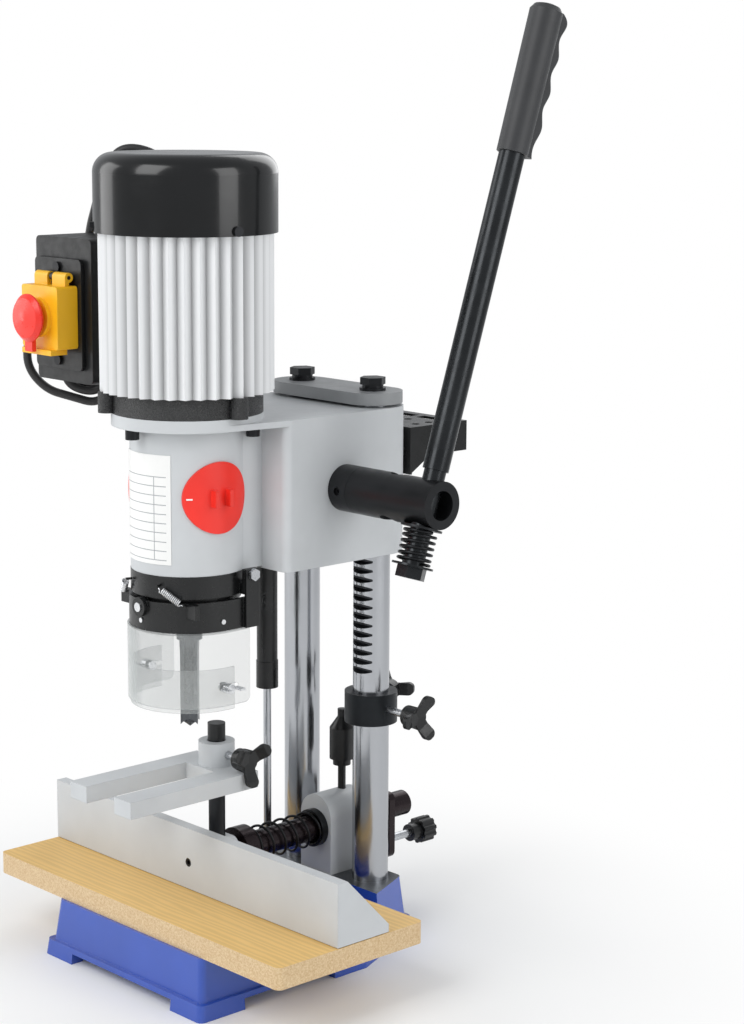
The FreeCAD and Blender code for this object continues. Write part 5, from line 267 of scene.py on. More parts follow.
def tint(made, pattern, dark, light, near=0.3, far=0.7):
    """Base colour that wanders between two close colours."""
    tree = made.node_tree
    amount = spread(made, pattern, 0, 1, near, far)
    mix = add(tree, "Mix", {0: amount}, data_type="RGBA")
    mix.inputs[6].default_value = (*dark, 1)
    mix.inputs[7].default_value = (*light, 1)
    tree.links.new(mix.outputs[2], shader_of(made).inputs["Base Color"])


def roughen(made, pattern, low, high):
    """Roughness that wanders between two values."""
    made.node_tree.links.new(spread(made, pattern, low, high), shader_of(made).inputs["Roughness"])


def emboss(made, pattern, height, strength=1.0, edge=0.0):
    """Surface relief of a real height in metres, over edges broken by a small radius."""
    tree = made.node_tree
    bump = add(tree, "Bump", {"Height": pattern, "Distance": height, "Strength": strength})
    if edge > 0:
        tree.links.new(add(tree, "Bevel", {"Radius": edge}, samples=4).outputs[0], bump.inputs["Normal"])
    tree.links.new(bump.outputs["Normal"], shader_of(made).inputs["Normal"])


def shade(base, factor):
    """The same colour darker or lighter."""
    return tuple(min(1, channel * factor) for channel in base)


def finish(name, maker, *values):
    """The finish of that name, made the first time that a piece needs it."""
    return bpy.data.materials.get(name) or maker(name, *values)


# Finishes: what each one is, and what that gives the eye


def gloss_enamel(name, base):
    """Two-part enamel sprayed thick on a filled casting: deep colour, wet gloss, faint orange peel."""
    made = material(name, base, Roughness=0.26, Coat_Weight=0.45, Coat_Roughness=0.1)
    tint(made, noise(made, 60, 2), shade(base, 0.92), shade(base, 1.08))
    emboss(made, noise(made, 2.6, 2), 0.00006, 0.3, EDGE)
    return made


def satin_paint(name, base, rough=0.42):
    """Satin polyester paint on cast iron: soft highlights, a little casting waviness below it."""
    made = material(name, base, Roughness=rough, Specular_IOR_Level=0.45)
    tint(made, noise(made, 45, 3), shade(base, 0.95), shade(base, 1.03))
    roughen(made, noise(made, 12, 3), rough - 0.06, rough + 0.06)
    emboss(made, noise(made, 3.5, 4), 0.00006, 0.3, EDGE)
    return made


def fin_paint_with_valley_shade(name, base):
    """Silver-white paint over a die-cast finned shell, with painted shade: greyer down between the fins,
    where shade falls.
    """
    made = material(name, base, Roughness=0.38)
    tree = made.node_tree
    centre = add(
        tree, "Mapping", {"Vector": place(made), "Location": (0, -SPINDLE_Y, 0), "Scale": (1, 1, 0)}
    ).outputs["Vector"]
    out = add(tree, "VectorMath", {0: centre}, operation="LENGTH").outputs["Value"]
    # Painted shade: the colour falls to half its brightness towards the valleys between the fins.
    tint(made, out, shade(base, 0.5), base, FIN_VALLEY, FIN_RIDGE)
    emboss(made, noise(made, 1.4, 2), 0.00002, 0.25)
    return made


def wrinkle_black(name):
    """Rough black dip paint on a sand casting: lumpy, with small bright points of gloss from its rough
    and smooth patches, and painted highlight on the lumps over painted shade in the hollows.
    """
    base = linear("0f1011")
    made = material(name, base, Roughness=0.3, Specular_IOR_Level=0.7)
    lumps_and_painted_light = noise(made, 1.9, 6, 0.75)
    roughen(made, noise(made, 1.1, 4), 0.12, 0.6)
    emboss(made, lumps_and_painted_light, 0.0009, 1.0)
    # Painted highlight and shade: the colour is lighter on the lumps and darker in the hollows, in step
    # with the relief.
    tint(made, lumps_and_painted_light, shade(base, 0.4), shade(base, 1.9))
    return made


def ground_steel(name):
    """Ground and oiled steel bar: satin grey, mirror-like along its length, with very faint rings."""
    base = linear("b4b6ba")
    made = material(name, base, Metallic=1.0, Roughness=0.2)
    roughen(made, noise(made, 30, 2), 0.18, 0.24)
    emboss(made, noise(made, 3, 2, stretch=(0.05, 0.05, 4)), 0.000003, 0.2)
    return made


def turned_steel(name, base, rough=0.28, stretch=(1, 1, 1)):
    """Bright machined or zinc-plated steel: fine tool marks and a slightly cloudy plating."""
    made = material(name, base, Metallic=1.0, Roughness=rough)
    tint(made, noise(made, 9, 3), shade(base, 0.86), shade(base, 1.06))
    roughen(made, noise(made, 1.2, 3, stretch=stretch), rough - 0.08, rough + 0.12)
    emboss(made, noise(made, 0.5, 2, stretch=stretch), 0.00002, 0.35)
    return made


def gloss_black(name, base):
    """Stoved gloss black on a drawn steel cover: near mirror, with the drawing's slight waviness."""
    made = material(
        name, base, Roughness=0.2, Specular_IOR_Level=0.4, Coat_Weight=0.25, Coat_Roughness=0.06
    )
    tint(made, noise(made, 50, 2), shade(base, 0.85), shade(base, 1.15))
    roughen(made, noise(made, 20, 3), 0.17, 0.23)
    emboss(made, noise(made, 4, 2), 0.00003, 0.25)
    return made


def black_oxide(name, base, rough=0.36):
    """Blacked and oiled steel: near black, metallic sheen, paler where hands rub it."""
    made = material(name, base, Metallic=0.75, Roughness=rough)
    tint(made, noise(made, 30, 2), shade(base, 0.88), shade(base, 1.15))
    roughen(made, noise(made, 9, 3), rough - 0.05, rough + 0.07)
    emboss(made, noise(made, 0.8, 2), 0.00001, 0.3)
    return made


def moulded(name, base, rough=0.35, grain=0.7, height=0.00004):
    """Injection-moulded ABS or nylon: even colour, spark-eroded grain, soft edge highlights."""
    made = material(name, base, Roughness=rough, Specular_IOR_Level=0.5)
    tint(made, noise(made, 30, 2), shade(base, 0.93), shade(base, 1.05))
    roughen(made, noise(made, 6, 3), rough - 0.05, rough + 0.07)
    emboss(made, noise(made, grain, 2), height, 0.4, EDGE)
    return made


def rubber(name, base, rough=0.62):
    """Soft PVC or rubber: matt, slightly dusty, with a fine moulded grain."""
    made = material(name, base, Roughness=rough, Sheen_Weight=0.15, Sheen_Roughness=0.5)
    tint(made, noise(made, 14, 4), shade(base, 0.92), shade(base, 1.12))
    emboss(made, noise(made, 0.8, 3), 0.00005, 0.4)
    return made


def clear_sheet(name):
    """Vacuum-formed clear polycarbonate: nearly invisible face-on, with a painted reflection: a pale grey
    line along its edges, where it turns more opaque.
    """
    base = linear("c4c8c7")
    made = material(name, base, Roughness=0.08, Specular_IOR_Level=0.5)
    tree = made.node_tree
    facing = add(tree, "LayerWeight", {"Blend": 0.5}).outputs["Facing"]
    # Painted reflection: pale grey opacity that grows towards grazing angles stands in for the sheet's
    # reflection.
    tree.links.new(spread(made, facing, 0.2, 0.85, 0.4, 1.0), shader_of(made).inputs["Alpha"])
    roughen(made, noise(made, 25, 3), 0.05, 0.14)
    return made


def laminate_board(name, base):
    """Wood-print melamine on a chipboard core: long pale grain on top, speckled core at the edges."""
    made = material(name, base, Roughness=0.4)
    tree = made.node_tree
    vector = place(made, (0.12, 1.0, 1.0))
    rings = add(
        tree, "TexWave",
        {"Vector": vector, "Scale": per(16), "Distortion": 7.0, "Detail": 4.0, "Detail Scale": 1.6},
        bands_direction="Y",
    ).outputs["Fac"]
    face = add(tree, "Mix", {0: spread(made, rings, 0, 1, 0.1, 0.9)}, data_type="RGBA")
    face.inputs[6].default_value = (*shade(base, 0.9), 1)
    face.inputs[7].default_value = (*shade(base, 1.04), 1)
    speck = noise(made, 1.2, 5, 0.7)
    core = add(tree, "Mix", {0: spread(made, speck, 0, 1)}, data_type="RGBA")
    core.inputs[6].default_value = (*linear("c4a173"), 1)
    core.inputs[7].default_value = (*linear("e3cba2"), 1)
    upward = add(tree, "SeparateXYZ", {0: add(tree, "NewGeometry").outputs["Normal"]}).outputs["Z"]
    is_face = add(tree, "Math", {0: upward, 1: 0.7}, operation="GREATER_THAN").outputs[0]
    whole = add(tree, "Mix", {0: is_face}, data_type="RGBA")
    tree.links.new(core.outputs[2], whole.inputs[6])
    tree.links.new(face.outputs[2], whole.inputs[7])
    tree.links.new(whole.outputs[2], shader_of(made).inputs["Base Color"])
    emboss(made, rings, 0.00005, 0.3)
    return made


def copper_winding(name):
    """Enamelled copper wire wound and laced: orange brown, close parallel strands, with painted shade
    darker down between them.
    """
    base = linear("a5562a")
    made = material(name, base, Metallic=0.6, Roughness=0.35)
    tree = made.node_tree
    strands = add(
        tree, "TexWave", {"Vector": place(made), "Scale": per(6)}, bands_direction="Z"
    ).outputs["Fac"]
    emboss(made, strands, 0.0004, 0.7)
    # Painted shade: darker in the grooves between the strands, in step with their relief.
    tint(made, strands, shade(base, 0.6), shade(base, 1.2))
    return made


def printed_plate(name):
    """White self-adhesive plate: a bare title band, then ruled rows with a margin line, and no words."""
    base = linear("efefed")
    made = material(name, base, Roughness=0.35)
    tree = made.node_tree
    place_on = add(tree, "SeparateXYZ", {0: place(made)})
    low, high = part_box("rating_plate")

    def test(value, limit, kind="LESS_THAN"):
        return add(tree, "Math", {0: value, 1: limit}, operation=kind).outputs[0]

    pitch = (high.z - low.z - PLATE_BAND - PLATE_MARGIN) / PLATE_ROWS
    rise = test(place_on.outputs["Z"], low.z + PLATE_MARGIN, "SUBTRACT")
    step = test(rise, pitch, "DIVIDE")
    line = test(add(tree, "Math", {0: step}, operation="FRACT").outputs[0], RULE_SHARE)
    inside = test(test(step, PLATE_ROWS + RULE_SHARE), test(step, 0.0, "GREATER_THAN"), "MULTIPLY")
    across = place_on.outputs["X"]
    side = test(across, high.x - PLATE_MARGIN)
    other = test(across, low.x + PLATE_MARGIN, "GREATER_THAN")
    within = test(inside, test(side, other, "MULTIPLY"), "MULTIPLY")
    off_margin = test(test(across, high.x - PLATE_COLUMN, "SUBTRACT"), 0, "ABSOLUTE")
    margin = test(off_margin, MARGIN_LINE_HALF)
    drawn = test(test(line, margin, "MAXIMUM"), within, "MULTIPLY")
    mix = add(tree, "Mix", {0: drawn}, data_type="RGBA")
    mix.inputs[6].default_value = (*base, 1)
    mix.inputs[7].default_value = (*linear("9a9da1"), 1)
    tree.links.new(mix.outputs[2], shader_of(made).inputs["Base Color"])
    emboss(made, noise(made, 6, 2), 0.00002, 0.3)
    return made


# Making and placing pieces


def put(bm, name, made, body, sharp=35):
    """Turns a bmesh into a finished piece that rides on a body."""
    bmesh.ops.remove_doubles(bm, verts=bm.verts, dist=0.000001)
    bmesh.ops.recalc_face_normals(bm, faces=bm.faces)
    mesh = bpy.data.meshes.new(name)
    bm.to_mesh(mesh)
    bm.free()
    mesh.shade_smooth()
    mesh.set_sharp_from_angle(angle=math.radians(sharp))
    mesh.materials.append(made)
    piece = bpy.data.objects.new(name, mesh)
    bpy.context.scene.collection.objects.link(piece)
    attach(piece, body)
    return piece


def spun(bm, outline, start, way, steps):
    """A turned solid from pairs of radius and distance along the axis."""
    way = way.normalized()
    side = way.orthogonal().normalized()
    corners = [bm.verts.new(start + way * along + side * radius) for radius, along in outline]
    edges = [bm.edges.new(pair) for pair in zip(corners, corners[1:])]
    bmesh.ops.spin(
        bm, geom=corners + edges, cent=start, axis=way, dvec=(0, 0, 0), angle=math.tau, steps=steps,
        use_merge=True, use_duplicate=False
    )


def bar(bm, low, high, edge):
    """A rectangular bar between two corners with its edges broken."""
    low, high = Vector(low), Vector(high)
    size = high - low
    middle = (high + low) / 2
    made = bmesh.ops.create_cube(bm, size=1)["verts"]
    bmesh.ops.scale(bm, vec=size, verts=made)
    bmesh.ops.translate(bm, vec=middle, verts=made)
    edges = list({e for v in made for e in v.link_edges})
    bmesh.ops.bevel(bm, geom=edges, offset=edge, segments=3, profile=0.5, affect="EDGES", material=-1)


def coat(made, *names):
    """Gives carried-over nodes their finish."""
    for name in names:
        mesh = nodes[name].data
        mesh.materials.clear()
        mesh.materials.append(made)


def coat_parts(name, finishes, choose):
    """Gives one node several finishes, each face by the place of its middle."""
    mesh = nodes[name].data
    mesh.materials.clear()
    for made in finishes:
        mesh.materials.append(made)
    for face in mesh.polygons:
        face.material_index = choose(face.center)


def hank_ways():
    """Ways of the tied hank: across its loops, along its length and through its layers."""
    up = (HANK_HEAD - HANK_FOOT).normalized()
    level = Vector((1, 1, 0))
    across = (level - up * level.dot(up)).normalized()
    return across, up, across.cross(up)


def hank_spot(across_by, up_by, through_by, radius):
    """A place in the hank, from the middle of its tie."""
    across, up, through = hank_ways()
    tie = HANK_FOOT + up * (radius + HANK_BEND + HANK_WAIST_HEIGHT)
    return tie + across * across_by + up * up_by + through * through_by


def hank_points(radius):
    """Control points of the hank: loops that step inwards, drawn in at the tie."""
    span = (HANK_HEAD - HANK_FOOT).length
    top = span - 2 * (radius + HANK_BEND) - HANK_WAIST_HEIGHT
    full = HANK_WAIST_HEIGHT
    near = HANK_STEP / 2
    rows = ((0, near), (1, near), (2, near), (2, -near), (1, -near))
    upper, lower = (full + (top - full) * share for share in HANK_STEP_SHARES)
    points = []

    def spot(across_by, up_by, layer):
        points.append(hank_spot(across_by, up_by, layer, radius))

    for i, (line, layer) in enumerate(rows):
        bend = HANK_BEND - HANK_STEP * line
        waist = HANK_WAIST - HANK_STEP * line
        corner = bend * BEND_CORNER_SHARE
        lean = corner * BEND_LEAN_SHARE
        if i > 0:
            spot(-waist, 0, layer)
            spot(-bend, -full * LOWER_WAIST_SHARE, layer)
            spot(-bend, -full - lean, layer)
            spot(-corner, -full - bend, layer)
        spot(corner, -full - bend, layer)
        spot(bend, -full - lean, layer)
        if i == len(rows) - 1:
            break
        spot(bend, -full * LOWER_WAIST_SHARE, layer)
        spot(waist, 0, layer)
        spot(bend, full * UPPER_WAIST_SHARE, layer)
        spot(bend, (full + top) / 2, layer)
        spot(bend, top + lean, layer)
        spot(corner, top + bend, layer)
        spot(-corner, top + bend, layer)
        spot(-bend, top + lean, layer)
        next_line, next_layer = rows[i + 1]
        next_bend = HANK_BEND - HANK_STEP * next_line
        first = next_bend if next_line < line else bend
        spot(-first, upper, layer)
        spot(-first, lower, next_layer)
        spot(-next_bend, full * UPPER_WAIST_SHARE, next_layer)
    return points


class MORTISER_OT_stage(bpy.types.Operator):
    """Camera at the photograph's view, pale floor and soft lamps"""

    bl_idname = "mortiser.stage"
    bl_label = "Stage"

    def execute(self, context):
        scene = context.scene
        scene.view_settings.view_transform = "Standard"
        forward = Vector((
            -math.sin(CAMERA_AZIMUTH) * math.cos(CAMERA_PITCH),
            math.cos(CAMERA_AZIMUTH) * math.cos(CAMERA_PITCH),
            -math.sin(CAMERA_PITCH),
        ))
        level = Vector((math.cos(CAMERA_AZIMUTH), math.sin(CAMERA_AZIMUTH), 0))
        above = level.cross(forward)
        right = level * math.cos(CAMERA_ROLL) + above * math.sin(CAMERA_ROLL)
        up = above * math.cos(CAMERA_ROLL) - level * math.sin(CAMERA_ROLL)
        lens = bpy.data.cameras.new("photo_camera")
        lens.sensor_fit = "HORIZONTAL"
        lens.sensor_width = SENSOR_WIDTH
        lens.lens = CAMERA_FOCAL
        camera = bpy.data.objects.new("photo_camera", lens)
        turn = Matrix((right, up, -forward)).transposed().to_4x4()
        camera.matrix_world = Matrix.Translation(CAMERA_PLACE) @ turn
        scene.collection.objects.link(camera)
        scene.camera = camera

        self.floor(scene)
        self.lamps(scene)
        self.sky(scene)
        return {"FINISHED"}

    def floor(self, scene):
        """Pale disc that shows the machine's shadow and turns plain white further out."""
        made = material("pale_floor", linear("f4f4f3"), Roughness=0.9, Specular_IOR_Level=0.1)
        tree = made.node_tree
        output = tree.nodes["Material Output"]
        flat = place(made, (1, 1, 0))
        radius = add(tree, "VectorMath", {0: flat}, operation="LENGTH").outputs["Value"]
        far = add(
            tree, "MapRange", {"Value": radius, "From Min": FLOOR_FADE_START, "From Max": FLOOR_FADE_END},
            interpolation_type="SMOOTHSTEP",
        ).outputs["Result"]
        unseen = add(tree, "LightPath").outputs["Is Camera Ray"]
        share = add(tree, "Math", {0: far, 1: unseen}, operation="MULTIPLY").outputs[0]
        white = add(tree, "Emission", {"Color": (1, 1, 1, 1), "Strength": 1.0}).outputs[0]
        mix = add(tree, "MixShader", {0: share, 1: shader_of(made).outputs[0], 2: white})
        tree.links.new(mix.outputs[0], output.inputs["Surface"])
        bm = bmesh.new()
        bmesh.ops.create_circle(bm, cap_ends=True, radius=FLOOR_R, segments=96)
        mesh = bpy.data.meshes.new("pale_floor")
        bm.to_mesh(mesh)
        bm.free()
        mesh.materials.append(made)
        plate = bpy.data.objects.new("pale_floor", mesh)
        scene.collection.objects.link(plate)

    def lamps(self, scene):
        """Four broad soft lamps, each aimed at the machine's middle."""
        for name, place_at, size, power in (
            ("key_lamp", (0.1, -1.7, 1.5), 1.1, 22),
            ("side_lamp", (1.9, 0.5, 1.1), 1.0, 14),
            ("left_lamp", (-1.7, -0.9, 0.9), 1.0, 11),
            ("back_lamp", (-0.7, 1.7, 1.3), 1.2, 10),
        ):
            lamp = bpy.data.lights.new(name, "AREA")
            lamp.shape = "RECTANGLE"
            lamp.size = size
            lamp.size_y = size * LAMP_TALL
            lamp.energy = power
            holder = bpy.data.objects.new(name, lamp)
            holder.location = place_at
            holder.rotation_euler = (LAMP_AIM - Vector(place_at)).to_track_quat("-Z", "Y").to_euler()
            scene.collection.objects.link(holder)

    def sky(self, scene):
        """Dim cool light all round, seen as plain white by the camera."""
        world = bpy.data.worlds.new("pale_room")
        scene.world = world
        world.use_nodes = True
        tree = world.node_tree
        ambient = tree.nodes["Background"]
        ambient.inputs["Color"].default_value = (0.9, 0.92, 0.95, 1)
        ambient.inputs["Strength"].default_value = 0.55
        white = add(tree, "Background", {"Color": (1, 1, 1, 1), "Strength": 1.0}).outputs[0]
        ray = add(tree, "LightPath")
        seen = add(
            tree, "Math", {0: ray.outputs["Is Camera Ray"], 1: ray.outputs["Is Transmission Ray"]},
            operation="MAXIMUM",
        ).outputs[0]
        mix = add(tree, "MixShader", {0: seen, 1: ambient.outputs[0], 2: white})
        tree.links.new(mix.outputs[0], tree.nodes["World Output"].inputs["Surface"])


class MORTISER_OT_cord(bpy.types.Operator):
    """Mains lead with its tied hank, tie and strain relief, its tail led to the plug"""

    bl_idname = "mortiser.cord"
    bl_label = "Mains lead"

    def execute(self, context):
        sizes = context.scene.mortiser_sizes
        radius = sizes.cord_diameter / 2
        across, up = hank_ways()[:2]
        points = [Vector(spot) for spot in LEAD_ROUTE]
        first = hank_spot(-2 * radius, -HANK_WAIST_HEIGHT - HANK_BEND, HANK_STEP / 2, radius)
        points += [first - across * LEAD_RUN_IN, first]
        points += hank_points(radius)
        back = HANK_STEP / 2 + radius + PLUG_GAP + PLUG_THICKNESS / 2
        low = HANK_BEND - HANK_STEP
        root = hank_spot(HANK_BEND - 2 * HANK_STEP, TAIL_RISE - HANK_WAIST_HEIGHT, -back, radius)
        leave = hank_spot(low, -HANK_WAIST_HEIGHT + TAIL_RUN, -HANK_STEP / 2, radius)
        points += [leave, root - up * TAIL_RUN, root]

        curve = bpy.data.curves.new("mains_cord", "CURVE")
        curve.dimensions = "3D"
        curve.bevel_depth = radius
        curve.bevel_resolution = 5
        curve.resolution_u = 12
        curve.use_fill_caps = True
        spline = curve.splines.new("NURBS")
        spline.points.add(len(points) - 1)
        for control, spot in zip(spline.points, points):
            control.co = (*spot, 1)
        spline.use_endpoint_u = True
        spline.order_u = 3
        cord_finish = rubber("pvc_sheath", context.scene.mortiser_colours.cord, 0.5)
        curve.materials.append(cord_finish)
        cord = bpy.data.objects.new("mains_cord", curve)
        context.scene.collection.objects.link(cord)
        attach(cord, "head")
        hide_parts("mains_hank", "mains_lead")

        relief = self.relief(sizes, cord_finish)
        tie = self.tie(radius)
        return {"FINISHED"}

    def relief(self, sizes, finish):
        """Ribbed, tapered sleeve over the lead's first stretch."""
        start = Vector(LEAD_ROUTE[0]) + X_WAY * RELIEF_SET_BACK
        pitch = sizes.relief_length / RELIEF_RIBS
        outline = [(0.0, 0.0)]
        for i in range(RELIEF_RIBS):
            share = i / RELIEF_RIBS
            outer = RELIEF_WIDE + (RELIEF_NARROW - RELIEF_WIDE) * share
            inner = outer * GROOVE_DEPTH_SHARE
            along = sizes.relief_length * share
            outline += [
                (outer, along), (outer, along + pitch * RIB_SHARE),
                (inner, along + pitch * RIB_FALL_SHARE), (inner, along + pitch * GROOVE_SHARE),
            ]
        outline.append((0.0, sizes.relief_length))
        bm = bmesh.new()
        spun(bm, outline, start, -X_WAY, 32)
        return put(bm, "strain_relief", finish, "head", 40)

    def tie(self, radius):
        """White twist tie round the waist of the hank."""
        across, up, through = hank_ways()
        centre = hank_spot(0, 0, 0, radius)
        wide = HANK_WAIST + radius + TIE_ROOM
        deep = HANK_STEP / 2 + radius + TIE_ROOM
        steps = bpy.context.scene.mortiser_sizes.tie_steps
        bm = bmesh.new()
        rings = []
        for i in range(steps):
            angle = math.tau * i / steps
            a = math.copysign(abs(math.cos(angle)) ** TIE_SQUARENESS, math.cos(angle)) * wide
            b = math.copysign(abs(math.sin(angle)) ** TIE_SQUARENESS, math.sin(angle)) * deep
            spot = centre + across * a + through * b
            out = (spot - centre).normalized()
            rings.append([bm.verts.new(spot + up * rise + out * off) for rise, off in TIE_SECTION])
        for one, two in zip(rings, rings[1:] + rings[:1]):
            for j in range(len(one)):
                k = (j + 1) % len(one)
                bm.faces.new((one[j], one[k], two[k], two[j]))
        finish = moulded("tie_vinyl", linear("e9e9e6"), 0.4)
        return put(bm, "hank_tie", finish, "head", 50)


# Finishes that several pieces share


def dyes(context):
    return context.scene.mortiser_colours


def grey_paint(context):
    return finish("satin_grey_paint", satin_paint, dyes(context).grey_paint)


def black_metal():
    return finish("black_oxide_steel", black_oxide, linear("2a2b2d"))


def silver():
    return finish("zinc_plated_steel", turned_steel, linear("c3c5c8"))


def black_knob(context):
    return finish("moulded_black", moulded, dyes(context).black_plastic)


def thin_black_paint(context):
    return finish("satin_black_paint", satin_paint, dyes(context).black_paint, 0.3)


def blued_spring():
    return finish("blued_spring", black_oxide, linear("232426"), 0.3)


def coat_wing(name, way, knob):
    """Silver shaft and black knob: the knob is the screw's far end."""
    reach = max(vertex.co.dot(way) for vertex in nodes[name].data.vertices)
    coat_parts(name, (silver(), knob), lambda spot: int(spot.dot(way) > reach - WING_KNOB))


class MORTISER_OT_castings(bpy.types.Operator):
    """Finishes of the base, head, fence block and tie plate"""

    bl_idname = "mortiser.castings"
    bl_label = "Castings"

    def execute(self, context):
        enamel = finish("gloss_blue_enamel", gloss_enamel, dyes(context).enamel)
        milled = finish("milled_pad", turned_steel, linear("74777b"), 0.42)
        pad_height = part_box("base_casting")[1].z - PAD_FACE
        coat_parts("base_casting", (enamel, milled), lambda spot: int(spot.z > pad_height))
        coat(grey_paint(context), "head_casting")
        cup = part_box("fence_block")[0].y + CUP_LENGTH
        coat_parts("fence_block", (grey_paint(context), black_metal()), lambda spot: int(spot.y < cup))
        dark_grey = shade(dyes(context).grey_paint, 0.5)
        coat(finish("satin_dark_grey_paint", satin_paint, dark_grey), "tie_plate")
        return {"FINISHED"}


class MORTISER_OT_table(bpy.types.Operator):
    """Wood-print laminate of the table board"""

    bl_idname = "mortiser.table"
    bl_label = "Table"

    def execute(self, context):
        coat(finish("laminated_chipboard", laminate_board, dyes(context).laminate), "table_board")
        return {"FINISHED"}


class MORTISER_OT_columns(bpy.types.Operator):
    """Ground columns, the rack, their screws and the gas strut"""

    bl_idname = "mortiser.columns"
    bl_label = "Columns and strut"

    def execute(self, context):
        coat(finish("ground_steel", ground_steel), "left_column", "strut_rod")
        self.rack()
        coat(black_metal(), "stand_screws")
        coat(thin_black_paint(context), "strut_cylinder")
        return {"FINISHED"}

    def rack(self):
        """Ground outside, with painted shade: dark between the rack's teeth."""
        low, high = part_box("right_column")
        radius = (high.x - low.x) / 2
        axis = Vector(((high.x + low.x) / 2, high.y - radius))
        # Painted shade: a dark blacked-steel finish on the faces down between the teeth.
        rack_groove_shade = finish("oily_rack", black_oxide, linear("3b3d40"), 0.34)
        coat_parts(
            "right_column", (finish("ground_steel", ground_steel), rack_groove_shade),
            lambda spot: int((spot.xy - axis).length < radius - RACK_DEPTH)
        )


class MORTISER_OT_motor(bpy.types.Operator):
    """Motor: base ring, finned housing, fan cover and what turns inside"""

    bl_idname = "mortiser.motor"
    bl_label = "Motor"

    def execute(self, context):
        bright = silver()
        coat(finish("rough_black_casting", wrinkle_black), "motor_base_ring")
        coat(finish("silver_white_fins", fin_paint_with_valley_shade, dyes(context).housing), "motor_housing")
        coat(finish("gloss_black_cover", gloss_black, dyes(context).black_paint), "fan_cover")
        coat(finish("enamelled_copper", copper_winding), "stator")
        coat(black_knob(context), "cooling_fan")
        coat(bright, "motor_rotor", "motor_bearings", "pinion_shaft", "chuck_body")
        guard_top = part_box("guard_collar")[1].z
        coat_parts(
            "head_screws", (bright, black_metal()), lambda spot: int(spot.z > guard_top + SCREW_MARGIN)
        )
        return {"FINISHED"}


class MORTISER_OT_spindle(bpy.types.Operator):
    """Chuck sleeve, bushing, square chisel and its auger"""

    bl_idname = "mortiser.spindle"
    bl_label = "Chisel and auger"

    def execute(self, context):
        coat(finish("knurled_black_sleeve", black_oxide, linear("3a3b3d")), "chuck_sleeve")
        coat(
            finish("hardened_steel", turned_steel, linear("606265"), 0.3, (1, 1, 0.15)),
            "chisel", "chisel_bushing",
        )
        coat(finish("dark_tool_steel", turned_steel, linear("4b4d50"), 0.26), "auger_bit")
        return {"FINISHED"}


class MORTISER_OT_lever(bpy.types.Operator):
    """Hub, lever, lower spring and moulded grip"""

    bl_idname = "mortiser.lever"
    bl_label = "Lever"

    def execute(self, context):
        coat(black_metal(), "hub_collar", "lever_hub")
        coat(finish("satin_black_tube", black_oxide, linear("2c2e30"), 0.26), "lever_rod", "lever_bolt")
        coat(blued_spring(), "lever_spring")
        coat(finish("moulded_grip", rubber, dyes(context).grip, 0.5), "lever_grip")
        return {"FINISHED"}


class MORTISER_OT_guard(bpy.types.Operator):
    """Black collar and band, clear shield and visor, their rivets, bolts and springs"""

    bl_idname = "mortiser.guard"
    bl_label = "Chisel guard"

    def execute(self, context):
        nylon = finish("satin_black_nylon", moulded, dyes(context).black_plastic, 0.3)
        coat(nylon, "guard_collar", "guard_band")
        coat(finish("clear_sheet", clear_sheet), "guard_shield", "guard_visor")
        nickelled = finish("nickelled_small_parts", turned_steel, linear("e4e5e7"), 0.22)
        coat(nickelled, "guard_rivets", "visor_bolts", "guard_springs")
        return {"FINISHED"}


class MORTISER_OT_doors(bpy.types.Operator):
    """Red doors with their white index dash, and the ruled plate"""

    bl_idname = "mortiser.doors"
    bl_label = "Doors and plate"

    def execute(self, context):
        coat(finish("red_door_plastic", moulded, dyes(context).red, 0.38), "right_door", "left_door")
        coat(finish("ruled_plate", printed_plate), "rating_plate")
        ink = finish("white_ink", moulded, linear("f6f6f4"), 0.5)
        for side, name in ((1, "right_door"), (-1, "left_door")):
            self.dash(side, name, ink)
        return {"FINISHED"}

    def dash(self, side, door, ink):
        """Thin raised dash that follows the door's curve, near its front edge."""
        low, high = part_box(door)
        middle_z = (low.z + high.z) / 2
        bm = bmesh.new()
        corner = Vector((DASH_LENGTH / 2, DASH_PROUD, DASH_HEIGHT / 2))
        bar(bm, -corner, corner, DASH_PROUD / 2)
        azimuth = side * math.radians(DASH_AZIMUTH)
        spot = Vector((math.sin(azimuth) * DOOR_FACE_R, -math.cos(azimuth) * DOOR_FACE_R, middle_z))
        spot.y += SPINDLE_Y
        bmesh.ops.rotate(bm, verts=bm.verts, cent=(0, 0, 0), matrix=Matrix.Rotation(azimuth, 3, "Z"))
        bmesh.ops.translate(bm, verts=bm.verts, vec=spot)
        put(bm, door + "_dash", ink, body_of_node[door])


class MORTISER_OT_switch(bpy.types.Operator):
    """Switch box with its plate, hinged yellow cover and buttons"""

    bl_idname = "mortiser.switch"
    bl_label = "Switch"

    def execute(self, context):
        dye = dyes(context)
        grained = finish("grained_black_abs", moulded, dye.black_plastic, 0.42, 0.9, 0.00008)
        coat(grained, "switch_box", "switch_plate")
        coat(finish("yellow_abs", moulded, dye.yellow, 0.36), "switch_cover")
        coat(finish("red_button_plastic", moulded, shade(dye.red, 1.05), 0.3), "stop_button")
        coat(finish("green_button_plastic", moulded, dye.green, 0.32), "start_button")
        coat(black_knob(context), "mains_plug")
        return {"FINISHED"}


class MORTISER_OT_fence(bpy.types.Operator):
    """Fence with its rod and spring, hold-down post and fork, and their screws and knobs"""

    bl_idname = "mortiser.fence"
    bl_label = "Fence and hold-down"

    def execute(self, context):
        knob = black_knob(context)
        coat(grey_paint(context), "fence", "holddown_fork")
        coat(finish("browned_rod", black_oxide, linear("2d2527"), 0.25), "fence_rod")
        coat(blued_spring(), "fence_spring")
        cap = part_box("holddown_post")[1].z - POST_CAP
        coat_parts("holddown_post", (black_metal(), knob), lambda spot: int(spot.z > cap))
        coat(knob, "lock_knob")
        knob_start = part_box("adjust_screw")[1].y - ADJUST_KNOB
        coat_parts("adjust_screw", (silver(), knob), lambda spot: int(spot.y > knob_start))
        coat_wing("holddown_screw", X_WAY, knob)
        return {"FINISHED"}


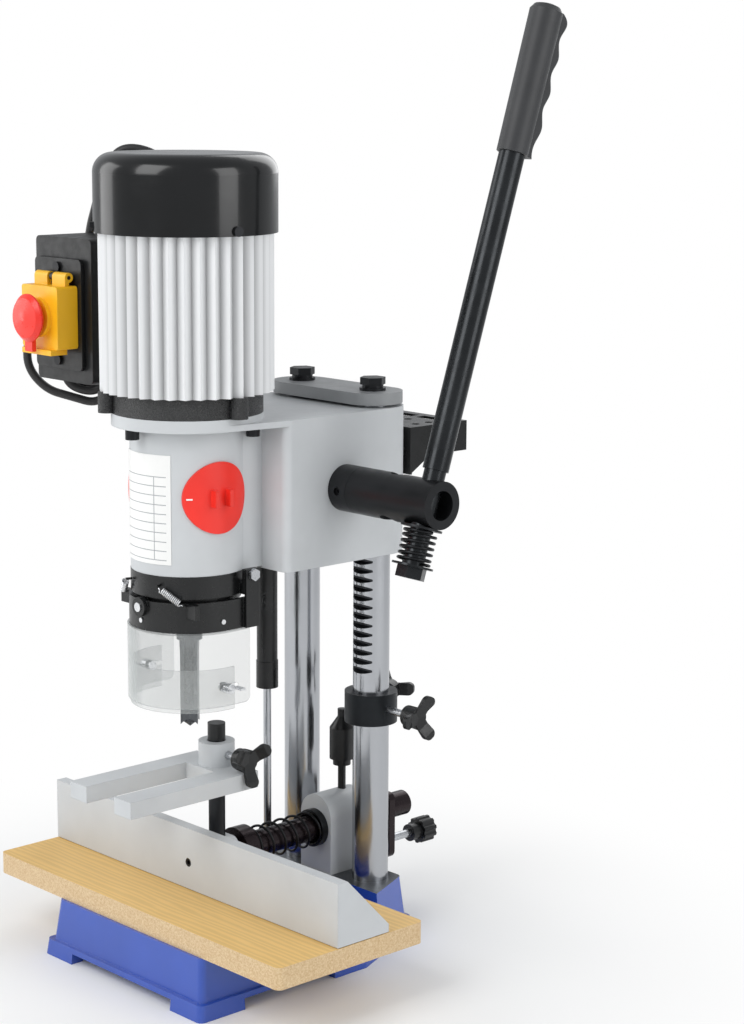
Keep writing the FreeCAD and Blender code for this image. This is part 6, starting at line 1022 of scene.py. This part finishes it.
class MORTISER_OT_stop(bpy.types.Operator):
    """Depth stop on the right column, and the tool holder behind the head"""

    bl_idname = "mortiser.stop"
    bl_label = "Depth stop and tool holder"

    def execute(self, context):
        knob = black_knob(context)
        coat(finish("satin_black_collar", black_oxide, linear("26292c"), 0.42), "stop_collar")
        for name, way in (("stop_screw_side", X_WAY), ("stop_screw_rear", STOP_REAR_WAY)):
            coat_wing(name, way, knob)
        coat(thin_black_paint(context), "tool_holder")
        return {"FINISHED"}


STAGES = (
    "stage", "cord", "castings", "table", "columns", "motor", "spindle",
    "lever", "guard", "doors", "switch", "fence", "stop",
)


class MORTISER_PT_panel(bpy.types.Panel):
    """Colours, sizes and steps of the mortiser"""

    bl_idname = "MORTISER_PT_panel"
    bl_label = "Benchtop mortiser"
    bl_space_type = "VIEW_3D"
    bl_region_type = "UI"
    bl_category = "Mortiser"

    def draw(self, context):
        layout = self.layout
        for group in (context.scene.mortiser_colours, context.scene.mortiser_sizes):
            column = layout.box().column()
            for key in group.__annotations__:
                column.prop(group, key)
        column = layout.column()
        for step in STAGES:
            column.operator("mortiser." + step)


CLASSES = (
    MortiserColours,
    MortiserSizes,
    MORTISER_OT_stage,
    MORTISER_OT_cord,
    MORTISER_OT_castings,
    MORTISER_OT_table,
    MORTISER_OT_columns,
    MORTISER_OT_motor,
    MORTISER_OT_spindle,
    MORTISER_OT_lever,
    MORTISER_OT_guard,
    MORTISER_OT_doors,
    MORTISER_OT_switch,
    MORTISER_OT_fence,
    MORTISER_OT_stop,
    MORTISER_PT_panel,
)


def register():
    for entry in CLASSES:
        bpy.utils.register_class(entry)
    bpy.types.Scene.mortiser_colours = PointerProperty(type=MortiserColours)
    bpy.types.Scene.mortiser_sizes = PointerProperty(type=MortiserSizes)


def unregister():
    del bpy.types.Scene.mortiser_sizes
    del bpy.types.Scene.mortiser_colours
    for entry in reversed(CLASSES):
        bpy.utils.unregister_class(entry)


def main():
    register()
    for step in STAGES:
        getattr(bpy.ops.mortiser, step)()


if __name__ == "__main__":
    main()
